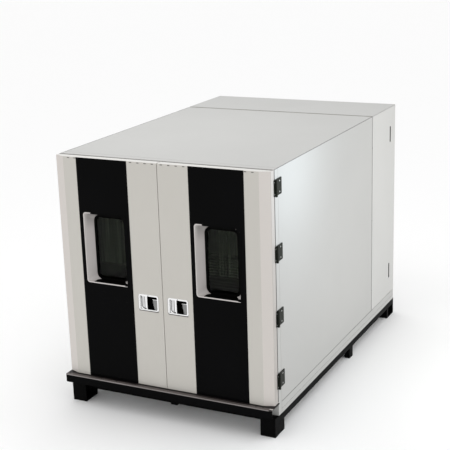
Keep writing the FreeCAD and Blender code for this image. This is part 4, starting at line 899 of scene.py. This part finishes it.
# Base
def sill_fittings():
    """Rivets on the tread, a highlight painted on its top and on its hem, its black nose and bright tip,
    and the strip behind it.
    """
    lo, hi = low("door_sill"), high("door_sill")
    rivet_places = (-0.93, -0.62, -0.47, -0.31, -0.29, 0.81, 0.87)
    rivets = lathe(RIVET * 1.2, [(x, lo.y + 22 * MM, hi.z) for x in rivet_places], (0, 0, 1), 14)
    mesh_piece("tread_rivets", rivets, "root", "sill_brown", smooth=True)
    front, hem_back = lo.y - 0.1 * MM, lo.y + 1 * MM
    # Painted highlight: a lighter band on the front of the tread and a lighter hem; the part next to the
    # door stays dark, as the shade under the door.
    door_shade_share = 0.42
    highlight_back = DOOR_Y - door_shade_share * (DOOR_Y - lo.y)
    tip_x = hi.x - 30 * MM
    deck_z, hem_z = hi.z - 1 * MM, hi.z - 9.5 * MM
    worn = bar(lo.x + 4 * MM, tip_x, front, highlight_back, deck_z, hi.z + PROUD)
    mesh_piece("tread_highlight_band", worn, "root", "tread_highlight")
    hem = bar(lo.x + 4 * MM, tip_x, front, hem_back, hem_z, deck_z)
    mesh_piece("tread_hem_highlight", hem, "root", "tread_hem_highlight")
    nose = bar(lo.x, hi.x, front, hem_back, lo.z + 2 * MM, hem_z)
    mesh_piece("tread_nose", nose, "root", "band_black")
    # A chrome tip on the right end only, standing in for the highlight on the tread's mitred corner.
    tip = bar(tip_x, hi.x, lo.y + 10 * MM, highlight_back, deck_z, hi.z + 0.8 * MM)
    mesh_piece("tread_tip_glint", tip, "root", "latch_chrome")
    kick = bar(-WALL_X + 2 * MM, BEVEL_X, HULL_Y - 2 * MM, HULL_Y, FLOOR_Z + 1 * MM, hi.z - 6 * MM)
    mesh_piece("kick_strip", kick, "root", "base_black")


def weld_beads(settings):
    """Fillet welds along the tops of the corner feet, where they meet the rails: a round bar each."""
    count = 40
    top = low("base_rails").z + 15 * MM
    weld_spans = ((-1.395, -1.305), (1.362, 1.548))
    beads = []
    for sign in (1, -1):
        x = np.full(count, sign * (high("feet").x - 2 * MM))
        for y0, y1 in weld_spans:
            path = np.stack([x, np.linspace(y0, y1, count), np.full(count, top)], -1)
            beads.append(tube(path, settings.weld))
    mesh_piece("foot_welds", joined(*beads), "root", "base_black", smooth=True)


# Hull and machine room
def hull_seams():
    """Gasket and tape between hull and machine room, sealant at the door frame, dark joints, and painted
    shade in the skirts' bead groove.
    """
    recess, gasket = 3 * MM, 20 * MM
    x = WALL_X - recess
    parts = [bar(-x, x, SEAM_Y, ROOM_Y, ROOF_Z - gasket, ROOF_Z - recess)]
    parts += [side_bar(sign, x - gasket, x, SEAM_Y, ROOM_Y, FLOOR_Z, ROOF_Z - gasket) for sign in (1, -1)]
    mesh_piece("joint_gasket", joined(*parts), "root", "seam_grey")
    lap = 9 * MM
    tape = bar(-WALL_X, WALL_X, SEAM_Y - lap, ROOM_Y + lap, ROOF_Z - 0.2 * MM, ROOF_Z + PROUD)
    mesh_piece("roof_seam_tape", tape, "root", "seam_tape")
    y0, y1 = FRAME_BACK_Y - 1.2 * MM, FRAME_BACK_Y + 1.2 * MM
    parts = [bar(-WALL_X, WALL_X, y0, y1, ROOF_Z - 1 * MM, ROOF_Z + PROUD)]
    parts += [side_bar(sign, WALL_X - 1 * MM, WALL_X + PROUD, y0, y1, SKIRT_Z, ROOF_Z) for sign in (1, -1)]
    mesh_piece("frame_sealant", joined(*parts), "root", "silicone_grey")
    skirt_x = high("side_skirts").x
    parts = []
    for sign in (1, -1):
        parts.append(side_bar(sign, WALL_X - 1.5 * MM, WALL_X + 0.8 * MM, HULL_Y, SEAM_Y,
                              ROOF_Z - 1.6 * MM, ROOF_Z + 0.8 * MM))
        parts.append(side_bar(sign, WALL_X - 2 * MM, WALL_X + 0.4 * MM, FRAME_BACK_Y, SEAM_Y,
                              SKIRT_Z, SKIRT_Z + 3.2 * MM))
        # Painted shade in the skirt's bead groove.
        parts.append(side_bar(sign, skirt_x - 3 * MM, skirt_x - 0.6 * MM, FRAME_BACK_Y, REAR_Y,
                              FLOOR_Z + 39 * MM, FLOOR_Z + 41 * MM))
    mesh_piece("panel_joints_and_groove_shade", joined(*parts), "root", "seam_dark")


def grip_linings():
    """Dark linings in the service doors' grips: a back and two side pads in each recess."""
    back_x = MACHINE_X - 18 * MM
    y = REAR_Y - 150 * MM
    half_width, half_height, pad = 15 * MM, 77.5 * MM, 1 * MM
    grip_heights = (0.505, 1.895)
    for side, sign in SIDES:
        parts = []
        for z in grip_heights:
            z0, z1 = z - half_height, z + half_height
            parts.append(side_bar(sign, back_x, back_x + pad, y - half_width, y + half_width, z0, z1))
            for y0 in (y - half_width, y + half_width - pad):
                parts.append(side_bar(sign, back_x + pad, MACHINE_X - pad, y0, y0 + pad, z0, z1))
        mesh_piece(side + "_grip_lining", joined(*parts), side + "_service", "seam_dark")


def control_fittings():
    """Fascia: dark screen glass, three signal lamps, a row of blank keys and the stop button's collar."""
    body = "left_service"
    lo, hi = low("control_panel"), high("control_panel")
    cy, cz = (lo.y + hi.y) / 2, (lo.z + hi.z) / 2
    plate_x = -(MACHINE_X - 17 * MM)
    bezel_x = -(MACHINE_X - 11 * MM)
    half_screen, screen_foot, screen_head = 91.5 * MM, 23.5 * MM, 156.5 * MM
    screen = bar(bezel_x - PROUD, bezel_x + 1 * MM, cy - half_screen, cy + half_screen,
                 cz + screen_foot, cz + screen_head)
    mesh_piece("control_screen", screen, body, "screen_glass")
    lens = np.array([(7.5, 0), (7.5, 2), (6, 2.6), (5.4, 5), (3.4, 6.6), (0.05, 7)]) * MM
    for name, dy, finish in (("run", -35 * MM, "signal_green"), ("warning", 0.0, "signal_amber"),
                             ("fault", 35 * MM, "stop_red")):
        lamp = lathe(lens, [(plate_x, cy + dy, cz - 30 * MM)], (-1, 0, 0))
        mesh_piece(name + "_lamp", lamp, body, finish, smooth=True)
    key = np.array([(0.0, 0.0), (0.0, 1.5), (0.8, 2.4)]) * MM
    places = [(plate_x, cy + dy, cz - 52 * MM) for dy in np.linspace(-75 * MM, 75 * MM, 6)]
    keys = plate(11 * MM, 6 * MM, 2 * MM, key, places, (-1, 0, 0))
    mesh_piece("blank_keys", keys, body, "key_grey", smooth=True)
    ring = np.array([(22.5, 0), (22.5, 1.2), (21.5, 1.8), (12.2, 1.8), (12.2, 0.0)]) * MM
    collar = lathe(ring, [(plate_x, low("stop_button").y + 20 * MM, cz - 100 * MM)], (-1, 0, 0), 32)
    mesh_piece("stop_collar", collar, body, "signal_amber", smooth=True)


def rear_fittings():
    """Rear cover: screws along its edges, bolts on the fan guard and two cable glands."""
    edge_x, foot_z, head_z = 895 * MM, 285 * MM, 2135 * MM
    inset = 35 * MM
    rows = np.linspace(foot_z + inset, head_z - inset, 6)
    columns = np.linspace(inset - edge_x, edge_x - inset, 5)
    places = [(x, REAR_Y, z) for x in (-edge_x, edge_x) for z in rows]
    places += [(x, REAR_Y, z) for z in (foot_z, head_z) for x in columns]
    screws = lathe(SCREW, places, (0, 1, 0), 16)
    mesh_piece("rear_cover_screws", screws, "root", "screw_steel", smooth=True)
    fan_z = (low("fan_guard").z + high("fan_guard").z) / 2
    circle = 240 * MM
    bolts = [(circle * math.sin(t), REAR_Y + 4 * MM, fan_z + circle * math.cos(t)) for t in turn_steps(8)]
    heads = lathe(SCREW * 0.9, bolts, (0, 1, 0), 16)
    mesh_piece("guard_bolts", heads, "root", "screw_steel", smooth=True)
    nut = [(19, 0), (19, 3), (15, 3.2), (15, 10), (13, 12.5), (8, 14), (7.4, 11), (0.05, 10.5)]
    gland_places = [(x, REAR_Y, 0.32) for x in (-0.78, -0.72)]
    glands = lathe(np.array(nut) * MM, gland_places, (0, 1, 0), 6)
    mesh_piece("cable_glands", glands, "root", "control_black", smooth=True)


def coil_bends():
    """Return bends at the condenser's ends: half circles of tube carried from row to row."""
    lo, hi = low("condenser_coil"), high("condenser_coil")
    radius, pitch = 12.5 * MM, 50 * MM
    t = np.linspace(0, math.pi, 13)
    bends = []
    for sign in (1, -1):
        for z in np.arange(lo.z + pitch, hi.z - pitch, pitch):
            for y in (lo.y + 18 * MM, lo.y + 50 * MM):
                x = sign * (hi.x + radius * np.sin(t) - 1 * MM)
                path = np.stack([x, np.full_like(t, y), z + radius - radius * np.cos(t)], -1)
                bends.append(tube(path, 4.5 * MM))
    mesh_piece("condenser_coil_bends", joined(*bends), "root", "copper_tube", smooth=True)


def room_fittings(settings):
    """Inside the chamber: a temperature probe, and the wire guard of each fan ring."""
    wall = high("chamber_liner").x - 2 * MM
    probe_y, probe_z = 0.10, 1.75
    stem = tube([(wall - reach, probe_y, probe_z) for reach in (0.0, 0.05, 0.12)], 4 * MM, 12)
    flange = np.array([(14, 0), (14, 6), (9, 9), (4.2, 10)]) * MM
    boss = lathe(flange, [(wall, probe_y, probe_z)], (-1, 0, 0))
    mesh_piece("room_probe", joined(stem, boss), "root", "fitting_steel", smooth=True)
    baffle_y = low("air_baffle").y
    fan_x, fan_z, reach = 430 * MM, 1680 * MM, 200 * MM
    ring_radii = (0.050, 0.085, 0.120, 0.155, 0.196)
    t = turn_steps(48)
    level = np.full_like(t, baffle_y - 3 * MM)
    wires = []
    for x in (-fan_x, fan_x):
        for r in ring_radii:
            ring = np.stack([x + r * np.cos(t), level, fan_z + r * np.sin(t)], -1)
            wires.append(wire_ring(ring, settings.guard_wire))
        for angle in np.radians((0, 45, 90, 135)):
            dx, dz = reach * math.cos(angle), reach * math.sin(angle)
            spoke = [(x + k * dx, baffle_y - 5.5 * MM, fan_z + k * dz) for k in (-1, 0, 1)]
            wires.append(tube(spoke, settings.guard_wire + 0.4 * MM))
    mesh_piece("ring_guards", joined(*wires), "root", "zinc_steel", smooth=True)


# Stage
CAMERA_PLACE = (4.1149, -8.5952, 3.9847)
CAMERA_YAW, CAMERA_PITCH, CAMERA_ROLL = -0.463, 0.278, -0.032


def camera_matrix():
    """The camera's turn (yaw, then pitch, then roll, in radians) and its place."""
    cy, sy = math.cos(CAMERA_YAW), math.sin(CAMERA_YAW)
    cp, sp = math.cos(CAMERA_PITCH), math.sin(CAMERA_PITCH)
    cr, sr = math.cos(CAMERA_ROLL), math.sin(CAMERA_ROLL)
    level = np.array([[1, 0, 0], [0, 0, -1], [0, 1, 0]], float)
    yaw = np.array([[cy, -sy, 0], [sy, cy, 0], [0, 0, 1]])
    pitch = np.array([[1, 0, 0], [0, cp, -sp], [0, sp, cp]])
    roll = np.array([[cr, -sr, 0], [sr, cr, 0], [0, 0, 1]])
    turn = roll @ pitch @ level @ yaw
    matrix = np.eye(4)
    matrix[:3, :3] = np.stack([turn[0], -turn[1], -turn[2]], 1)
    matrix[:3, 3] = CAMERA_PLACE
    return Matrix(matrix.tolist())


def area_light(name, place, aim, size, power, colour=(1, 1, 1), twist=0.0):
    """A rectangular light, turned to its aim and then about its own axis by the twist in degrees."""
    data = bpy.data.lights.new(name, "AREA")
    data.shape = "RECTANGLE"
    data.size, data.size_y = size
    data.energy = power
    data.color = colour
    light = bpy.data.objects.new(name, data)
    bpy.context.scene.collection.objects.link(light)
    light.location = place
    turn = (Vector(aim) - Vector(place)).to_track_quat("-Z", "Y").to_matrix()
    light.rotation_euler = (turn @ Matrix.Rotation(math.radians(twist), 3, "Z")).to_euler()


def make_floor(settings):
    """A wide pale floor below the feet."""
    tree, surface = shader("pale_floor", roughness=0.9, specular=0.1)
    surface.inputs["Base Color"].default_value = (*settings.floor, 1)
    reach = 60.0
    mesh = bpy.data.meshes.new("floor")
    corners = [(-reach, -reach, 0), (reach, -reach, 0), (reach, reach, 0), (-reach, reach, 0)]
    mesh.from_pydata(corners, [], [(0, 1, 2, 3)])
    mesh.materials.append(FINISHES["pale_floor"])
    floor = bpy.data.objects.new("floor", mesh)
    bpy.context.scene.collection.objects.link(floor)


def make_lights(settings):
    """A soft white surround, and lights on the near corner, the long side, the doors and the roof."""
    world = bpy.data.worlds.new("studio")
    world.use_nodes = True
    background = world.node_tree.nodes["Background"]
    background.inputs["Color"].default_value = (1, 1, 1, 1)
    background.inputs["Strength"].default_value = settings.surround
    bpy.context.scene.world = world
    corner_share, wall_share = 0.31, 0.50
    area_light("corner_light", (1.85, -1.15, 2.12), (0.95, -1.00, 2.10), (0.5, 0.4),
               corner_share * settings.side_light, colour=(0.80, 0.91, 1.0))
    area_light("wall_light", (3.0, 0.6, 1.75), (0.95, 0.6, 1.65), (2.8, 0.25),
               wall_share * settings.side_light, colour=(1.0, 1.0, 0.97), twist=35.0)
    area_light("front_light", (-3.0, -9.0, 3.4), (0.0, -1.4, 0.8), (5.0, 4.0), settings.front_light)
    area_light("roof_light", (-0.6, -0.6, 4.9), (-0.4, -0.1, 2.1), (2.0, 2.0), settings.roof_light)


def make_camera(settings):
    """The camera, and the plain view transform."""
    data = bpy.data.cameras.new("camera")
    data.sensor_width = 36.0
    data.lens = settings.lens
    data.clip_end = 200.0
    camera = bpy.data.objects.new("camera", data)
    bpy.context.scene.collection.objects.link(camera)
    camera.matrix_world = camera_matrix()
    bpy.context.scene.camera = camera
    bpy.context.scene.view_settings.view_transform = "Standard"


# Settings
def colour_setting(name, description, default):
    """A property that holds a colour."""
    return FloatVectorProperty(name=name, description=description, subtype="COLOR", size=3, min=0, max=1,
                               default=default)


def power_setting(name, description, default):
    """A property that holds a light's power in watts."""
    return FloatProperty(name=name, description=description, unit="POWER", min=0, default=default)


def length_setting(name, description, default, smallest, largest):
    """A property that holds a length in metres."""
    return FloatProperty(name=name, description=description, unit="LENGTH", default=default, min=smallest,
                         max=largest)


class FinishSettings(bpy.types.PropertyGroup):
    """Colours of the large surfaces."""
    hull: colour_setting("Hull", "Paint of the walls", (0.435, 0.435, 0.422))
    door: colour_setting("Doors", "Paint of the doors", (0.519, 0.501, 0.463))
    # A lighter door tone painted on the outer bevels as a highlight.
    bevel: colour_setting("Door bevels", "Paint of the doors' outer bevels", (0.585, 0.550, 0.520))
    moulding: colour_setting("Window moulding", "Colour of the window reveals", (0.56, 0.53, 0.515))


class FittingSettings(bpy.types.PropertyGroup):
    """Sizes of small fittings."""
    screw: length_setting("Hinge screw", "Head diameter of the hinge screws", 14 * MM, 6 * MM, 20 * MM)
    weld: length_setting("Weld", "Radius of the welds at the feet", 3.5 * MM, 1 * MM, 8 * MM)
    guard_wire: length_setting("Guard wire", "Radius of the fan guards' rings", 1.8 * MM, 1 * MM, 4 * MM)


class StageSettings(bpy.types.PropertyGroup):
    """Floor, lights and lens."""
    floor: colour_setting("Floor", "Colour of the floor", (0.97, 0.97, 0.97))
    surround: FloatProperty(name="Surround", description="Strength of the studio's soft surround", min=0,
                            default=1.0)
    side_light: power_setting("Side light", "Power that the corner's and the wall's lights share", 26.0)
    front_light: power_setting("Front light", "Power of the light on the doors", 40.0)
    roof_light: power_setting("Roof light", "Power of the light above the roof", 30.0)
    lens: FloatProperty(name="Lens", description="Focal length", unit="CAMERA", min=20, default=86.8)


# Operators
class CHAMBER_OT_finishes(bpy.types.Operator):
    """Make every material and put one on each CAD node."""
    bl_idname = "chamber.finishes"
    bl_label = "Finishes"

    def execute(self, context):
        make_finishes(context.scene.chamber_finish)
        dress_nodes()
        return {"FINISHED"}


class CHAMBER_OT_hinge_screws(bpy.types.Operator):
    """Add screws and caps to the door hinges."""
    bl_idname = "chamber.hinge_screws"
    bl_label = "Hinge screws"

    def execute(self, context):
        hinge_screws(context.scene.chamber_fitting)
        return {"FINISHED"}


class CHAMBER_OT_latch_fittings(bpy.types.Operator):
    """Add the inside of both latches and the paddles' marks."""
    bl_idname = "chamber.latch_fittings"
    bl_label = "Latch fittings"

    def execute(self, context):
        latch_fittings()
        return {"FINISHED"}


class CHAMBER_OT_window_fittings(bpy.types.Operator):
    """Add each window's black lining as painted shade, bead and spacer."""
    bl_idname = "chamber.window_fittings"
    bl_label = "Window fittings"

    def execute(self, context):
        window_fittings()
        return {"FINISHED"}


class CHAMBER_OT_plug_rivets(bpy.types.Operator):
    """Add rivets to the doors' inside faces."""
    bl_idname = "chamber.plug_rivets"
    bl_label = "Plug rivets"

    def execute(self, context):
        plug_rivets()
        return {"FINISHED"}


class CHAMBER_OT_window_trims(bpy.types.Operator):
    """Add the black trims on the windows."""
    bl_idname = "chamber.window_trims"
    bl_label = "Window trims"

    def execute(self, context):
        window_trims()
        return {"FINISHED"}


class CHAMBER_OT_door_tops(bpy.types.Operator):
    """Add the folded edge painted as a highlight, the seam and the dark dashes on the doors."""
    bl_idname = "chamber.door_tops"
    bl_label = "Door tops"

    def execute(self, context):
        door_tops()
        return {"FINISHED"}


class CHAMBER_OT_door_lips(bpy.types.Operator):
    """Add the rubber lips between the doors and their frame, the side lip dark as painted shade."""
    bl_idname = "chamber.door_lips"
    bl_label = "Door lips"

    def execute(self, context):
        door_lips()
        return {"FINISHED"}


class CHAMBER_OT_sill_fittings(bpy.types.Operator):
    """Add the rivets and the painted highlights of the tread."""
    bl_idname = "chamber.sill_fittings"
    bl_label = "Sill fittings"

    def execute(self, context):
        sill_fittings()
        return {"FINISHED"}


class CHAMBER_OT_weld_beads(bpy.types.Operator):
    """Add fillet welds at the corner feet."""
    bl_idname = "chamber.weld_beads"
    bl_label = "Weld beads"

    def execute(self, context):
        weld_beads(context.scene.chamber_fitting)
        return {"FINISHED"}


class CHAMBER_OT_hull_seams(bpy.types.Operator):
    """Add gaskets, tape, sealant and joints on the hull, and painted shade in the skirt groove."""
    bl_idname = "chamber.hull_seams"
    bl_label = "Hull seams"

    def execute(self, context):
        hull_seams()
        return {"FINISHED"}


class CHAMBER_OT_grip_linings(bpy.types.Operator):
    """Line the grips of the service doors."""
    bl_idname = "chamber.grip_linings"
    bl_label = "Grip linings"

    def execute(self, context):
        grip_linings()
        return {"FINISHED"}


class CHAMBER_OT_controls(bpy.types.Operator):
    """Add screen, lamps, keys and collar to the control panel."""
    bl_idname = "chamber.controls"
    bl_label = "Controls"

    def execute(self, context):
        control_fittings()
        return {"FINISHED"}


class CHAMBER_OT_rear_fittings(bpy.types.Operator):
    """Add screws, bolts and glands to the rear cover."""
    bl_idname = "chamber.rear_fittings"
    bl_label = "Rear fittings"

    def execute(self, context):
        rear_fittings()
        return {"FINISHED"}


class CHAMBER_OT_coil_bends(bpy.types.Operator):
    """Add return bends to the condenser."""
    bl_idname = "chamber.coil_bends"
    bl_label = "Coil bends"

    def execute(self, context):
        coil_bends()
        return {"FINISHED"}


class CHAMBER_OT_room_fittings(bpy.types.Operator):
    """Add the probe and the fan guards inside the chamber."""
    bl_idname = "chamber.room_fittings"
    bl_label = "Room fittings"

    def execute(self, context):
        room_fittings(context.scene.chamber_fitting)
        return {"FINISHED"}


class CHAMBER_OT_stage(bpy.types.Operator):
    """Add floor, lights and camera."""
    bl_idname = "chamber.stage"
    bl_label = "Stage"

    def execute(self, context):
        make_floor(context.scene.chamber_stage)
        make_lights(context.scene.chamber_stage)
        make_camera(context.scene.chamber_stage)
        return {"FINISHED"}


OPERATORS = [
    CHAMBER_OT_finishes, CHAMBER_OT_hinge_screws, CHAMBER_OT_latch_fittings, CHAMBER_OT_window_fittings,
    CHAMBER_OT_plug_rivets, CHAMBER_OT_window_trims, CHAMBER_OT_door_tops, CHAMBER_OT_door_lips,
    CHAMBER_OT_sill_fittings, CHAMBER_OT_weld_beads, CHAMBER_OT_hull_seams, CHAMBER_OT_grip_linings,
    CHAMBER_OT_controls, CHAMBER_OT_rear_fittings, CHAMBER_OT_coil_bends, CHAMBER_OT_room_fittings,
    CHAMBER_OT_stage,
]
SETTINGS = {
    "chamber_finish": FinishSettings,
    "chamber_fitting": FittingSettings,
    "chamber_stage": StageSettings,
}


class CHAMBER_PT_panel(bpy.types.Panel):
    """Lists the chamber's settings and operators."""
    bl_label = "Battery test chamber"
    bl_idname = "CHAMBER_PT_panel"
    bl_space_type = "VIEW_3D"
    bl_region_type = "UI"
    bl_category = "Chamber"

    def draw(self, context):
        for name, kind in SETTINGS.items():
            for key in kind.__annotations__:
                self.layout.prop(getattr(context.scene, name), key)
        for kind in OPERATORS:
            self.layout.operator(kind.bl_idname)


CLASSES = [*SETTINGS.values(), *OPERATORS, CHAMBER_PT_panel]


def register():
    """Registers the classes and hangs the settings on the scene."""
    for kind in CLASSES:
        bpy.utils.register_class(kind)
    for name, kind in SETTINGS.items():
        setattr(bpy.types.Scene, name, PointerProperty(type=kind))


def unregister():
    """Takes the settings off the scene and unregisters the classes."""
    for name in SETTINGS:
        delattr(bpy.types.Scene, name)
    for kind in reversed(CLASSES):
        bpy.utils.unregister_class(kind)


def main():
    """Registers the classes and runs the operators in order."""
    register()
    for kind in OPERATORS:
        getattr(bpy.ops.chamber, kind.bl_idname.split(".")[1])()


if __name__ == "__main__":
    main()
